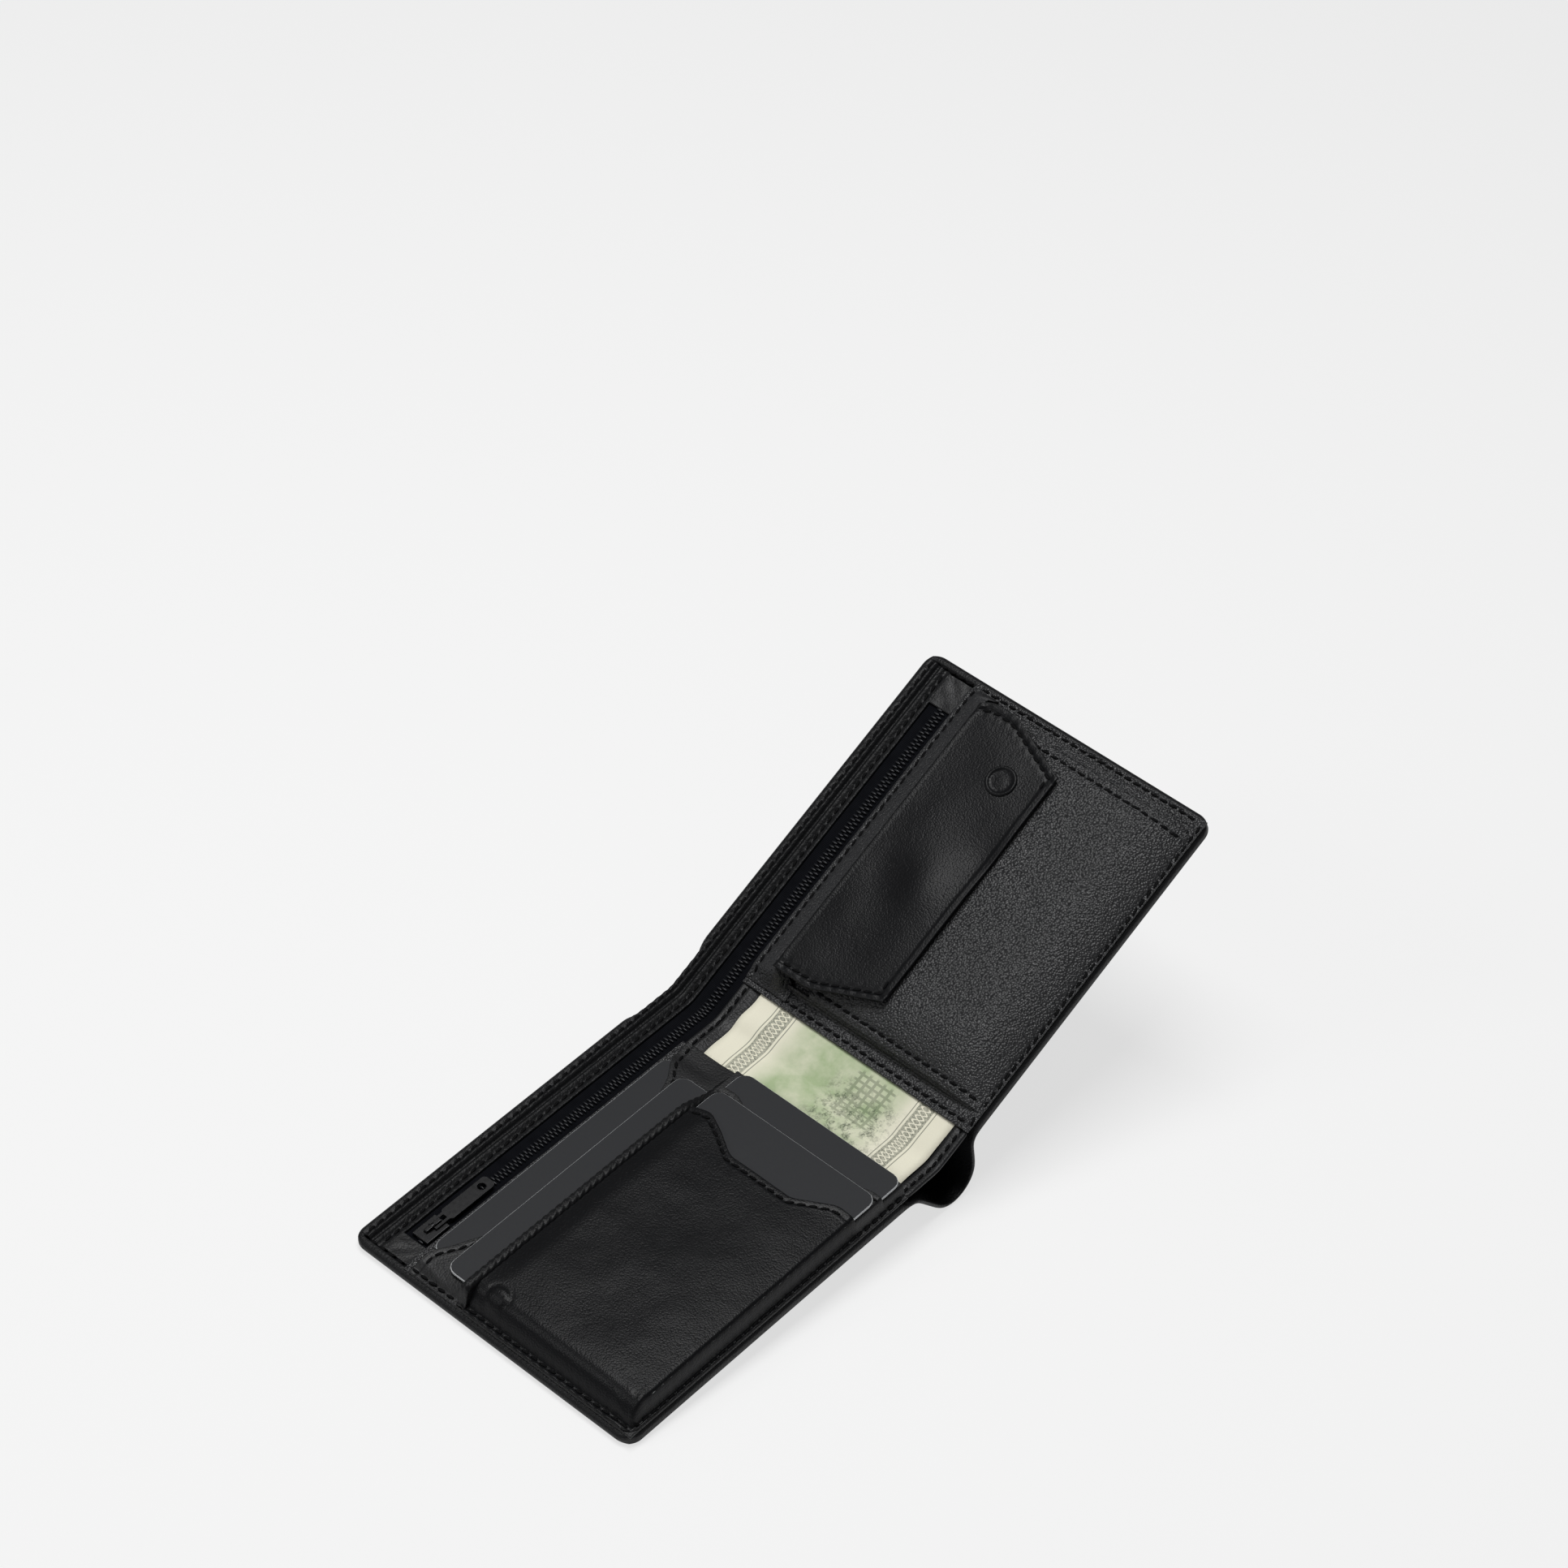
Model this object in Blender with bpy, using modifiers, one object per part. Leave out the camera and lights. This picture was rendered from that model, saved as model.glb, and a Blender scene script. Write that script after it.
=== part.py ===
"""Bifold leather wallet, lying open: card side, coin side, zipped pocket, coin pouch and contents.

The wallet folds about the Y axis. The card side reaches towards -X and the coin side towards +X,
the inside faces up and the zipped edge is at +Y. Each half is drawn in its own flat frame, where
u runs from the fold to the outer edge, v along the fold and w from the cover's outside inwards.
Lengths in this file are millimetres, and MM turns them into Blender's metres.
"""
import math

import bmesh
import bpy
from mathutils import Matrix

MM = 0.001

# Driving sizes of one half
HALF_WIDTH = 115.5          # fold to outer edge
HALF_HEIGHT = 47.7          # middle to top or bottom edge
COVER_CORNER = 4.5          # corner radius of the cover
RIM_WIDTH = 2.8             # turned edge of the cover
RIM_TOP = 3.0               # w of the turned edge
OPEN_ANGLE = math.radians(24.7)   # coin side raised above the card side's plane
FOLD_AXIS_W = 10.9          # height of the fold axis above both covers
FOLD_CLEAR = 2.8            # u where pieces that reach the fold end
GAP = 0.15                  # clearance between layers
CORNER_STEPS = 4            # segments in a rounded corner

# Spine roll: the slack of the cover, seen along the fold, in the card side's x and w
ROLL_CENTRE = (5.0, -6.0)
ROLL_RADIUS = 8.0
COVER_THICK = 1.0
ROLL_CARD_END = (-10.4, 0.5)
ROLL_COIN_END = (12.2, 0.5)       # u and w on the coin side
COVER_INNER_CARD = 11.6
COVER_INNER_COIN = 13.2

# Layers from the cover inwards: lower and upper w
LINING = (1.15, 1.35)
ZIP_TAPE = (1.50, 1.75)
ZIP_TEETH = (1.90, 2.50)
ZIP_FACING = (1.90, 2.50)
DIVIDER = (2.00, 2.60)
BANKNOTE = (2.80, 2.95)
CARD_BASE = (3.15, 4.15)
COIN_PANEL = (3.15, 3.55)
CARD_THICK = 0.76
CARD_LAYER_THICK = 0.40
FRONT_THICK = 0.50

# Outlines of the inner panels
INNER_U = 112.6             # outer edge of the inner layers
INNER_V = -45.7             # lower edge of the inner layers
TRAY_U = 112.2              # pieces that lie inside the turned edge
TRAY_V = 44.4
PANEL_FOLD_U = 13.0         # fold edge of the card panel
COIN_PANEL_FOLD_U = 12.4
PANEL_TOP_V = 30.0
SKIRT_THICK = 0.6

# Shaped mouths of the card layers, as u and v from the outer seam inwards or from the top down
SLOT_MOUTH = [(107.0, 28.2), (103.0, 25.4), (95.5, 22.0), (89.0, 18.0), (38.0, 18.0),
              (31.5, 21.4), (26.0, 23.4), (20.5, 27.4)]
SLOT_SHOULDER_V = 28.6
POCKET_BACK_TOP_V = 12.0
POCKET_TOP_V = 9.2
DIVIDER_MOUTH = [(20.3, 8.0), (20.0, 4.5), (23.0, -2.0), (27.5, -7.0), (27.5, -31.0),
                 (23.0, -36.5), (20.8, -41.0)]
FRONT_MOUTH = [(30.2, 4.0), (33.2, -2.0), (37.5, -9.0), (37.5, -29.5), (31.2, -39.8)]
FRONT_SHOULDER_U = 31.3
BINDING_V = (9.45, 12.0)
BINDING_RISE = 0.3          # the binding stands above the front panel
SKIRT_FOOT = 3.2            # w where the front panel's skirt meets the turned edge

# Cards, ISO ID-1
CARD_LONG = 85.6
CARD_SHORT = 53.98
CARD_CORNER = 3.18
TOP_CARD_BACK = (20.2, 29.1)      # fold end u and top edge v
TOP_CARD_FRONT = (23.1, 21.0)
SIDE_CARD_BACK = (12.5, 9.08)
SIDE_CARD_FRONT = (22.2, 9.08)

# Banknote
NOTE_HALF_LENGTH = 78.0
NOTE_TOP_V = 23.9
NOTE_WIDTH = 66.3

# Zip
ZIP_V = 34.3                # middle of the teeth
TEETH_WIDTH = 2.6
TAPE_LOW_V, TAPE_HIGH_V = 27.5, 40.6
FACING_LOW_V = 38.9
TEETH_CARD_END_U = 105.0
TEETH_COIN_END_U = 102.5
END_TAB_CARD = (106.0, 112.0)
END_TAB_COIN = (103.4, 112.0)
SLIDER_U = (96.5, 104.5)
SLIDER_WIDTH = 5.4
SLIDER_TOP = 3.0
ARCH_U = (97.2, 102.5)
ARCH_WIDTH = 1.2
ARCH_BAR = (3.8, 4.15)
ARCH_POST = 0.7
PULLER_AXIS = (99.8, 3.4)         # u and w
PULLER_TIP_U = 79.5
PULLER_WIDTH = 4.2
PULLER_THICK = 0.5
PULLER_WINDOW = (95.5, 99.55)
PULLER_WINDOW_WIDTH = 2.0
PULLER_HOLE = (82.6, 1.2)         # u and radius

# Coin pouch
POUCH_U = (18.2, 108.6)
POUCH_MOUTH_V = 11.0
POUCH_BOTTOM_V = -45.3
POUCH_FRONT = (9.35, 9.75)
GUSSET_TOP_V = 16.0
WALL = 0.6
STRIP_U = (16.0, 111.0)
STRIP_LOW = (29.9, 3.7)           # v and w of the strip's lower edge
STRIP_HIGH = (22.3, 9.45)
STRIP_THICK = 0.5

# Flap and snap
FLAP_LINING = (10.30, 10.60)
FLAP_LEATHER = (10.75, 11.25)
FLAP_AXIS = (21.7, 11.35)         # v and w
FLAP_OUTLINE = [(19.0, 21.2), (19.0, 10.2), (27.0, -9.3), (101.4, -9.3), (109.8, 11.0),
                (109.8, 19.0), (108.0, 21.2)]
SNAP_AT = (92.7, 3.1)
STUD_BASE = (4.0, 9.90, 10.15)    # radius, lower and upper w
STUD_POST = (2.0, 10.55)
SOCKET = (2.3, 4.3, 10.30, 10.65)  # inner and outer radius, lower and upper w
SOCKET_HOLE_RADIUS = 4.6
CAP = (4.2, 11.40, 11.70)
TURNED_STEPS = 24

CARD, COIN = -1, 1          # sign of x for each half


def stacked(base):
    """Lower and upper w of the cards and leather layers above the card panel's base."""
    levels = {}
    low = base + GAP
    names = ("top_card_back", "slot_layer", "top_card_front", "pocket_back", "side_card_back",
             "pocket_divider", "side_card_front", "front")
    for name in names:
        if "card" in name:
            thick = CARD_THICK
        elif name == "front":
            thick = FRONT_THICK
        else:
            thick = CARD_LAYER_THICK
        levels[name] = (low, low + thick)
        low += thick + GAP
    return levels


LEVELS = stacked(CARD_BASE[1])


def rest_tilt():
    """Slope of the card side: it rests on its outer edge and on the spine roll."""
    along = ROLL_CENTRE[0] + HALF_WIDTH
    down = ROLL_CENTRE[1]
    return math.asin(ROLL_RADIUS / math.hypot(along, down)) - math.atan2(down, along)


TILT = rest_tilt()
RAISED = TILT + OPEN_ANGLE
FOLD_Z = HALF_WIDTH * math.sin(TILT)
LEFT_X = -HALF_WIDTH * math.cos(TILT) - RIM_TOP * math.sin(TILT)
RIGHT_X = HALF_WIDTH * math.cos(RAISED)
FOLD_X = -(LEFT_X + RIGHT_X) / 2


def material(name, colour, roughness, metallic=0.0):
    """A Principled material with one colour."""
    made = bpy.data.materials.new(name)
    made.use_nodes = True
    shader = made.node_tree.nodes["Principled BSDF"]
    shader.inputs["Base Color"].default_value = (*colour, 1.0)
    shader.inputs["Roughness"].default_value = roughness
    shader.inputs["Metallic"].default_value = metallic
    made.diffuse_color = (*colour, 1.0)
    return made


def frame(name, lift):
    """The flat frame of one half, an empty on the line where the two covers' planes meet."""
    empty = bpy.data.objects.new(name, None)
    empty.location = (FOLD_X * MM, 0.0, FOLD_Z * MM)
    empty.rotation_euler = (0.0, -lift, 0.0)
    PARTS.objects.link(empty)
    return empty


def axis_frame(name, half, x, v, w):
    """An empty on a moving piece's joint axis."""
    empty = bpy.data.objects.new(name, None)
    empty.parent = half
    empty.location = (x * MM, v * MM, w * MM)
    PARTS.objects.link(empty)
    return empty


def rounded(points, radius, steps=CORNER_STEPS):
    """The closed outline through points, with each corner turned into an arc of the radius."""
    outline = []
    count = len(points)
    for index, corner in enumerate(points):
        before, after = points[index - 1], points[(index + 1) % count]
        size = radius[index] if isinstance(radius, (list, tuple)) else radius
        if size <= 0:
            outline.append(corner)
            continue
        inward = unit(corner, before)
        onward = unit(corner, after)
        half_turn = math.acos(max(-1, min(1, inward[0] * onward[0] + inward[1] * onward[1]))) / 2
        reach = size / math.tan(half_turn)
        middle = unit((0, 0), (inward[0] + onward[0], inward[1] + onward[1]))
        centre = [corner[k] + middle[k] * size / math.sin(half_turn) for k in (0, 1)]
        start = [corner[k] + inward[k] * reach - centre[k] for k in (0, 1)]
        end = [corner[k] + onward[k] * reach - centre[k] for k in (0, 1)]
        first = math.atan2(start[1], start[0])
        sweep = math.remainder(math.atan2(end[1], end[0]) - first, 2 * math.pi)
        for step in range(steps + 1):
            angle = first + sweep * step / steps
            outline.append((centre[0] + size * math.cos(angle), centre[1] + size * math.sin(angle)))
    return outline


def unit(start, end):
    """Unit vector from start towards end."""
    step = (end[0] - start[0], end[1] - start[1])
    length = math.hypot(*step)
    return step[0] / length, step[1] / length


def box(low, high):
    """The four corners of a rectangle."""
    return [(low[0], low[1]), (high[0], low[1]), (high[0], high[1]), (low[0], high[1])]


def circle(centre, radius, steps=TURNED_STEPS):
    """The outline of a circle."""
    return [(centre[0] + radius * math.cos(2 * math.pi * k / steps),
             centre[1] + radius * math.sin(2 * math.pi * k / steps)) for k in range(steps)]


def flat_mesh(name, outlines, low, high):
    """A flat piece: a filled curve through the outlines, extruded from low to high, as a mesh."""
    curve = bpy.data.curves.new(name, "CURVE")
    curve.dimensions = "2D"
    curve.fill_mode = "BOTH"
    curve.extrude = (high - low) / 2 * MM
    for outline in outlines:
        spline = curve.splines.new("POLY")
        spline.points.add(len(outline) - 1)
        for point, (x, y) in zip(spline.points, outline):
            point.co = (x * MM, y * MM, 0.0, 1.0)
        spline.use_cyclic_u = True
    drawn = bpy.data.objects.new(name + "_outline", curve)
    PARTS.objects.link(drawn)
    graph = bpy.context.evaluated_depsgraph_get()
    mesh = bpy.data.meshes.new_from_object(drawn.evaluated_get(graph))
    bpy.data.objects.remove(drawn)
    bpy.data.curves.remove(curve)
    tidy = bmesh.new()
    tidy.from_mesh(mesh)
    bmesh.ops.remove_doubles(tidy, verts=tidy.verts, dist=0.01 * MM)
    bmesh.ops.translate(tidy, verts=tidy.verts, vec=(0.0, 0.0, (low + high) / 2 * MM))
    bmesh.ops.recalc_face_normals(tidy, faces=tidy.faces)
    tidy.to_mesh(mesh)
    tidy.free()
    return mesh


def place(name, mesh, parent, finish):
    """Put a mesh in the model under its frame, with its material."""
    piece = bpy.data.objects.new(name, mesh)
    mesh.name = name
    piece.parent = parent
    mesh.materials.clear()
    mesh.materials.append(finish)
    PARTS.objects.link(piece)
    return piece


def sheet(name, side, outline, levels, half, finish, holes=()):
    """A flat piece of one half, from an outline in u and v."""
    outlines = [[(side * u, v) for u, v in line] for line in (outline, *holes)]
    return place(name, flat_mesh(name, outlines, *levels), half, finish)


def helper(name, mesh, parent):
    """A hidden shape that is cut from, or joined to, a piece."""
    shape = bpy.data.objects.new(name, mesh)
    shape.parent = parent
    shape.hide_render = True
    shape.display_type = "WIRE"
    CUTTERS.objects.link(shape)
    return shape


def combine(piece, other, operation):
    """Cut the other shape from a piece, or join it to the piece."""
    change = piece.modifiers.new(other.name, "BOOLEAN")
    change.operation = operation
    change.object = other
    change.solver = "EXACT"


def turn_mesh(mesh, matrix):
    """Turn a mesh's points by a matrix of mathutils."""
    mesh.transform(matrix)
    if matrix.determinant() < 0:
        mesh.flip_normals()
    return mesh


def upright_along_v(mesh):
    """Take a profile drawn in x and w to stand in the x, w plane, with its depth along v."""
    return turn_mesh(mesh, Matrix(((1, 0, 0, 0), (0, 0, 1, 0), (0, 1, 0, 0), (0, 0, 0, 1))))


def upright_along_u(mesh):
    """Take a profile drawn in v and w to stand in the v, w plane, with its depth along x."""
    return turn_mesh(mesh, Matrix(((0, 0, 1, 0), (1, 0, 0, 0), (0, 1, 0, 0), (0, 0, 0, 1))))


def make_cover(name, side, inner_u, half):
    """One half of the cover: a plate with its edges turned in on three sides."""
    corners = box((inner_u, -HALF_HEIGHT), (HALF_WIDTH, HALF_HEIGHT))
    outline = rounded(corners, [0, COVER_CORNER, COVER_CORNER, 0])
    cover = sheet(name, side, outline, (0.0, RIM_TOP), half, LEATHER)
    tray = box((inner_u - RIM_WIDTH, RIM_WIDTH - HALF_HEIGHT),
               (HALF_WIDTH - RIM_WIDTH, HALF_HEIGHT - RIM_WIDTH))
    hollow = [(side * u, v) for u, v in tray]
    cutter = helper(name + "_hollow", flat_mesh(name + "_hollow", [hollow], COVER_THICK, 2 * RIM_TOP), half)
    combine(cover, cutter, "DIFFERENCE")


def roll_path(radius, card_end, coin_end):
    """Side of the spine roll: a tangent from the card side, an arc, and a tangent to the coin side."""
    path = [card_end]
    start = tangent_angle(card_end, radius, 1)
    end = tangent_angle(coin_end, radius, -1)
    steps = 12
    sweep = (end - start) % (2 * math.pi)
    for step in range(steps + 1):
        angle = start + sweep * step / steps
        path.append((ROLL_CENTRE[0] + radius * math.cos(angle), ROLL_CENTRE[1] + radius * math.sin(angle)))
    path.append(coin_end)
    return path


def tangent_angle(point, radius, turn):
    """Angle on the roll's circle where the tangent from a point touches it."""
    away = (point[0] - ROLL_CENTRE[0], point[1] - ROLL_CENTRE[1])
    return math.atan2(away[1], away[0]) + turn * math.acos(radius / math.hypot(*away))


def make_spine_roll(half):
    """The slack of the cover between the two halves, a band that hangs in a loop below the fold."""
    u, w = ROLL_COIN_END
    coin_end = (u * math.cos(OPEN_ANGLE) - w * math.sin(OPEN_ANGLE),
                u * math.sin(OPEN_ANGLE) + w * math.cos(OPEN_ANGLE))
    reach = COVER_THICK / 2
    outer = roll_path(ROLL_RADIUS, (ROLL_CARD_END[0] - reach, ROLL_CARD_END[1] - reach),
                      (coin_end[0] + reach, coin_end[1] - reach))
    inner = roll_path(ROLL_RADIUS - COVER_THICK, (ROLL_CARD_END[0] + reach, ROLL_CARD_END[1]),
                      (coin_end[0] - reach, coin_end[1] - reach))
    mesh = flat_mesh("spine_roll", [outer + inner[::-1]], -HALF_HEIGHT, HALF_HEIGHT)
    place("spine_roll", upright_along_v(mesh), half, LEATHER)


def make_zipped_pocket(side, half, label, teeth_end, tab):
    """Lining, zip and leather divider of one half. The zip lies along the top edge."""
    def name(piece):
        return piece + "_" + label

    def strip(piece, u_range, v_range, levels, finish):
        corners = box((u_range[0], v_range[0]), (u_range[1], v_range[1]))
        sheet(name(piece), side, corners, levels, half, finish)

    strip("lining", (FOLD_CLEAR, TRAY_U), (-TRAY_V, TAPE_HIGH_V), LINING, LINING_CLOTH)
    strip("zip_tape", (FOLD_CLEAR, TRAY_U - WALL), (TAPE_LOW_V, TAPE_HIGH_V), ZIP_TAPE, TAPE)
    teeth_v = (ZIP_V - TEETH_WIDTH / 2, ZIP_V + TEETH_WIDTH / 2)
    strip("zip_teeth", (FOLD_CLEAR, teeth_end), teeth_v, ZIP_TEETH, ZIP_PLASTIC)
    strip("zip_end_tab", tab, (PANEL_TOP_V + WALL, FACING_LOW_V - WALL), ZIP_FACING, LEATHER)
    strip("zip_facing", (FOLD_CLEAR, TRAY_U), (FACING_LOW_V, TRAY_V), ZIP_FACING, LEATHER)
    strip("divider", (FOLD_CLEAR, TRAY_U), (-TRAY_V, PANEL_TOP_V), DIVIDER, LEATHER)
    note_v = (NOTE_TOP_V - NOTE_WIDTH, NOTE_TOP_V)
    strip("banknote", (FOLD_CLEAR, NOTE_HALF_LENGTH), note_v, BANKNOTE, NOTE_PAPER)


def make_slider(half):
    """The zip's slider on the card side: a channel over the teeth, with an arch that holds the puller."""
    width, leg = SLIDER_WIDTH / 2, 0.9
    plate_low = ZIP_TEETH[1] + GAP
    channel = [(ZIP_V - width, ZIP_TEETH[0]), (ZIP_V - width + leg, ZIP_TEETH[0]),
               (ZIP_V - width + leg, plate_low), (ZIP_V + width - leg, plate_low),
               (ZIP_V + width - leg, ZIP_TEETH[0]), (ZIP_V + width, ZIP_TEETH[0]),
               (ZIP_V + width, SLIDER_TOP), (ZIP_V - width, SLIDER_TOP)]
    mesh = flat_mesh("zip_slider", [channel], -SLIDER_U[1], -SLIDER_U[0])
    slider = place("zip_slider", upright_along_u(mesh), half, METAL)
    low = SLIDER_TOP - GAP
    first, last = -ARCH_U[1], -ARCH_U[0]
    arch = [(first, low), (first, ARCH_BAR[1]), (last, ARCH_BAR[1]), (last, low),
            (last - ARCH_POST, low), (last - ARCH_POST, ARCH_BAR[0]),
            (first + ARCH_POST, ARCH_BAR[0]), (first + ARCH_POST, low)]
    mesh = flat_mesh("slider_arch", [arch], ZIP_V - ARCH_WIDTH / 2, ZIP_V + ARCH_WIDTH / 2)
    combine(slider, helper("slider_arch", upright_along_v(mesh), half), "UNION")


def make_puller(half):
    """The puller, with a window round the slider's arch and a round hole near its tip."""
    axis_u, axis_w = PULLER_AXIS
    pivot = axis_frame("puller_axis", half, -axis_u, ZIP_V, axis_w)
    bar = PULLER_THICK / 2
    grip = box((PULLER_TIP_U - axis_u, -PULLER_WIDTH / 2), (bar, PULLER_WIDTH / 2))
    window = box((PULLER_WINDOW[0] - axis_u, -PULLER_WINDOW_WIDTH / 2),
                 (PULLER_WINDOW[1] - axis_u, PULLER_WINDOW_WIDTH / 2))
    hole = circle((PULLER_HOLE[0] - axis_u, 0.0), PULLER_HOLE[1], 16)
    outline = rounded(grip, [1.2, 0.2, 0.2, 1.2])
    sheet("zip_puller", CARD, outline, (-bar, bar), pivot, METAL, holes=(window, hole))


def make_card_panels(half):
    """Base, slot layers, front pocket and binding of the card side."""
    base = rounded(box((PANEL_FOLD_U, INNER_V), (INNER_U, PANEL_TOP_V)), [0, 3.0, 0, 0])
    sheet("card_panel_base", CARD, base, CARD_BASE, half, LEATHER)
    slot = [(PANEL_FOLD_U, INNER_V), (INNER_U, INNER_V), (INNER_U, SLOT_SHOULDER_V), *SLOT_MOUTH,
            (PANEL_FOLD_U, SLOT_SHOULDER_V)]
    sheet("card_slot_layer", CARD, slot, LEVELS["slot_layer"], half, LEATHER)
    back = box((PANEL_FOLD_U, INNER_V), (INNER_U, POCKET_BACK_TOP_V))
    sheet("side_pocket_back", CARD, back, LEVELS["pocket_back"], half, LEATHER)
    divider = [(INNER_U, INNER_V), (INNER_U, POCKET_TOP_V), (DIVIDER_MOUTH[0][0], POCKET_TOP_V),
               *DIVIDER_MOUTH, (DIVIDER_MOUTH[-1][0], INNER_V)]
    sheet("side_pocket_divider", CARD, divider, LEVELS["pocket_divider"], half, LEATHER)
    binding = box((PANEL_FOLD_U, BINDING_V[0]), (INNER_U, BINDING_V[1]))
    levels = (LEVELS["pocket_back"][1] + GAP, LEVELS["front"][1] + BINDING_RISE)
    sheet("pocket_binding", CARD, binding, levels, half, LEATHER)
    make_front_pocket(half)


def make_front_pocket(half):
    """Front pocket panel: a notched sheet with a skirt down its outer and lower edges."""
    outer_u = INNER_U + 2 * GAP + SKIRT_THICK
    low_v = INNER_V - 2 * GAP - SKIRT_THICK
    low, high = LEVELS["front"]
    outline = [(outer_u, low_v), (outer_u, POCKET_TOP_V), (FRONT_SHOULDER_U, POCKET_TOP_V),
               *FRONT_MOUTH, (FRONT_SHOULDER_U, low_v)]
    corner = [SKIRT_THICK] + [0] * (len(outline) - 1)
    panel = sheet("front_pocket_panel", CARD, rounded(outline, corner), (low, high), half, LEATHER)
    inner_u, inner_v = outer_u - SKIRT_THICK, low_v + SKIRT_THICK
    skirt = [(FRONT_SHOULDER_U, low_v), (outer_u, low_v), (outer_u, POCKET_TOP_V),
             (inner_u, POCKET_TOP_V), (inner_u, inner_v), (FRONT_SHOULDER_U, inner_v)]
    drop = [(CARD * u, v) for u, v in rounded(skirt, [0, SKIRT_THICK, 0, 0, 0, 0])]
    middle = (low + high) / 2
    combine(panel, helper("front_skirt", flat_mesh("front_skirt", [drop], SKIRT_FOOT, middle), half), "UNION")


def make_cards(half):
    """Two cards in the slots of the top edge and two in the side pockets."""
    places = {"top_card_back": TOP_CARD_BACK, "top_card_front": TOP_CARD_FRONT,
              "side_card_back": SIDE_CARD_BACK, "side_card_front": SIDE_CARD_FRONT}
    for name, (fold_u, top_v) in places.items():
        corners = box((fold_u, top_v - CARD_SHORT), (fold_u + CARD_LONG, top_v))
        sheet(name, CARD, rounded(corners, CARD_CORNER), LEVELS[name], half, CARD_PLASTIC)


def make_coin_pouch(half):
    """Coin panel, the strip that rises to the flap, the pouch front and its two gussets."""
    panel = rounded(box((COIN_PANEL_FOLD_U, INNER_V), (INNER_U, PANEL_TOP_V)), [0, 3.0, 0, 0])
    sheet("coin_panel", COIN, panel, COIN_PANEL, half, LEATHER)
    strip = [STRIP_LOW, (STRIP_LOW[0], STRIP_LOW[1] + STRIP_THICK),
             (STRIP_HIGH[0], STRIP_HIGH[1] + STRIP_THICK), STRIP_HIGH]
    mesh = flat_mesh("pouch_top_strip", [strip], *STRIP_U)
    place("pouch_top_strip", upright_along_u(mesh), half, LEATHER)
    low, high = POUCH_FRONT
    front = box((POUCH_U[0], POUCH_BOTTOM_V), (POUCH_U[1], POUCH_MOUTH_V))
    piece = sheet("coin_pouch_front", COIN, front, POUCH_FRONT, half, LEATHER)
    foot = COIN_PANEL[1] + GAP
    wall = box((POUCH_U[0], POUCH_BOTTOM_V), (POUCH_U[1], POUCH_BOTTOM_V + WALL))
    bottom = helper("pouch_bottom", flat_mesh("pouch_bottom", [wall], foot, (low + high) / 2), half)
    combine(piece, bottom, "UNION")
    gusset_low = POUCH_BOTTOM_V + WALL + GAP
    for name, start in (("pouch_gusset_fold_side", POUCH_U[0]), ("pouch_gusset_outer_side", POUCH_U[1] - WALL)):
        side = box((start, gusset_low), (start + WALL, GUSSET_TOP_V))
        sheet(name, COIN, side, (foot, low - GAP), half, LEATHER)


def turned(name, profile, half, finish):
    """A turned piece of the snap: a closed profile of radius and w, spun about the snap's axis."""
    mesh = bpy.data.meshes.new(name)
    ring = bmesh.new()
    points = [ring.verts.new((radius * MM, 0.0, w * MM)) for radius, w in profile]
    for start, end in zip(points, points[1:]):
        ring.edges.new((start, end))
    ring.to_mesh(mesh)
    ring.free()
    piece = place(name, mesh, half, finish)
    piece.location = (SNAP_AT[0] * MM, SNAP_AT[1] * MM, 0.0)
    spin = piece.modifiers.new("turn", "SCREW")
    spin.axis = "Z"
    spin.steps = TURNED_STEPS
    spin.render_steps = TURNED_STEPS
    spin.use_merge_vertices = True
    spin.merge_threshold = 0.00001
    return piece


def make_snap_stud(half):
    """The snap's stud on the pouch front."""
    radius, low, high = STUD_BASE
    post, top = STUD_POST
    turned("snap_stud", [(0, top), (post, top), (post, high), (radius, high), (radius, low), (0, low)],
           half, METAL)


def make_flap(half):
    """The coin flap with its lining, snap socket and cap. It turns about its upper edge."""
    axis_v, axis_w = FLAP_AXIS
    pivot = axis_frame("flap_axis", half, 0.0, axis_v, axis_w)

    def near_axis(line):
        return [(u, v - axis_v) for u, v in line]

    def levels(pair):
        return pair[0] - axis_w, pair[1] - axis_w

    outline = near_axis(rounded(FLAP_OUTLINE, [0, 0, 1.5, 1.5, 1.5, 1.5, 0]))
    sheet("flap_leather", COIN, outline, levels(FLAP_LEATHER), pivot, LEATHER)
    hole = near_axis(circle(SNAP_AT, SOCKET_HOLE_RADIUS))
    sheet("flap_lining", COIN, outline, levels(FLAP_LINING), pivot, LEATHER, holes=(hole,))
    inner, outer, low, high = SOCKET
    ring = near_axis(circle(SNAP_AT, outer))
    bore = near_axis(circle(SNAP_AT, inner))
    sheet("snap_socket", COIN, ring, levels((low, high)), pivot, METAL, holes=(bore,))
    radius, low, high = CAP
    sheet("snap_cap", COIN, near_axis(circle(SNAP_AT, radius)), levels((low, high)), pivot, LEATHER)


def build():
    """Make every piece of the wallet."""
    card_half = frame("card_side_frame", TILT)
    coin_half = frame("coin_side_frame", RAISED)
    make_cover("cover_card_side", CARD, COVER_INNER_CARD, card_half)
    make_cover("cover_coin_side", COIN, COVER_INNER_COIN, coin_half)
    make_spine_roll(card_half)
    make_zipped_pocket(CARD, card_half, "card_side", TEETH_CARD_END_U, END_TAB_CARD)
    make_zipped_pocket(COIN, coin_half, "coin_side", TEETH_COIN_END_U, END_TAB_COIN)
    make_slider(card_half)
    make_puller(card_half)
    make_card_panels(card_half)
    make_cards(card_half)
    make_coin_pouch(coin_half)
    make_snap_stud(coin_half)
    make_flap(coin_half)


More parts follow.
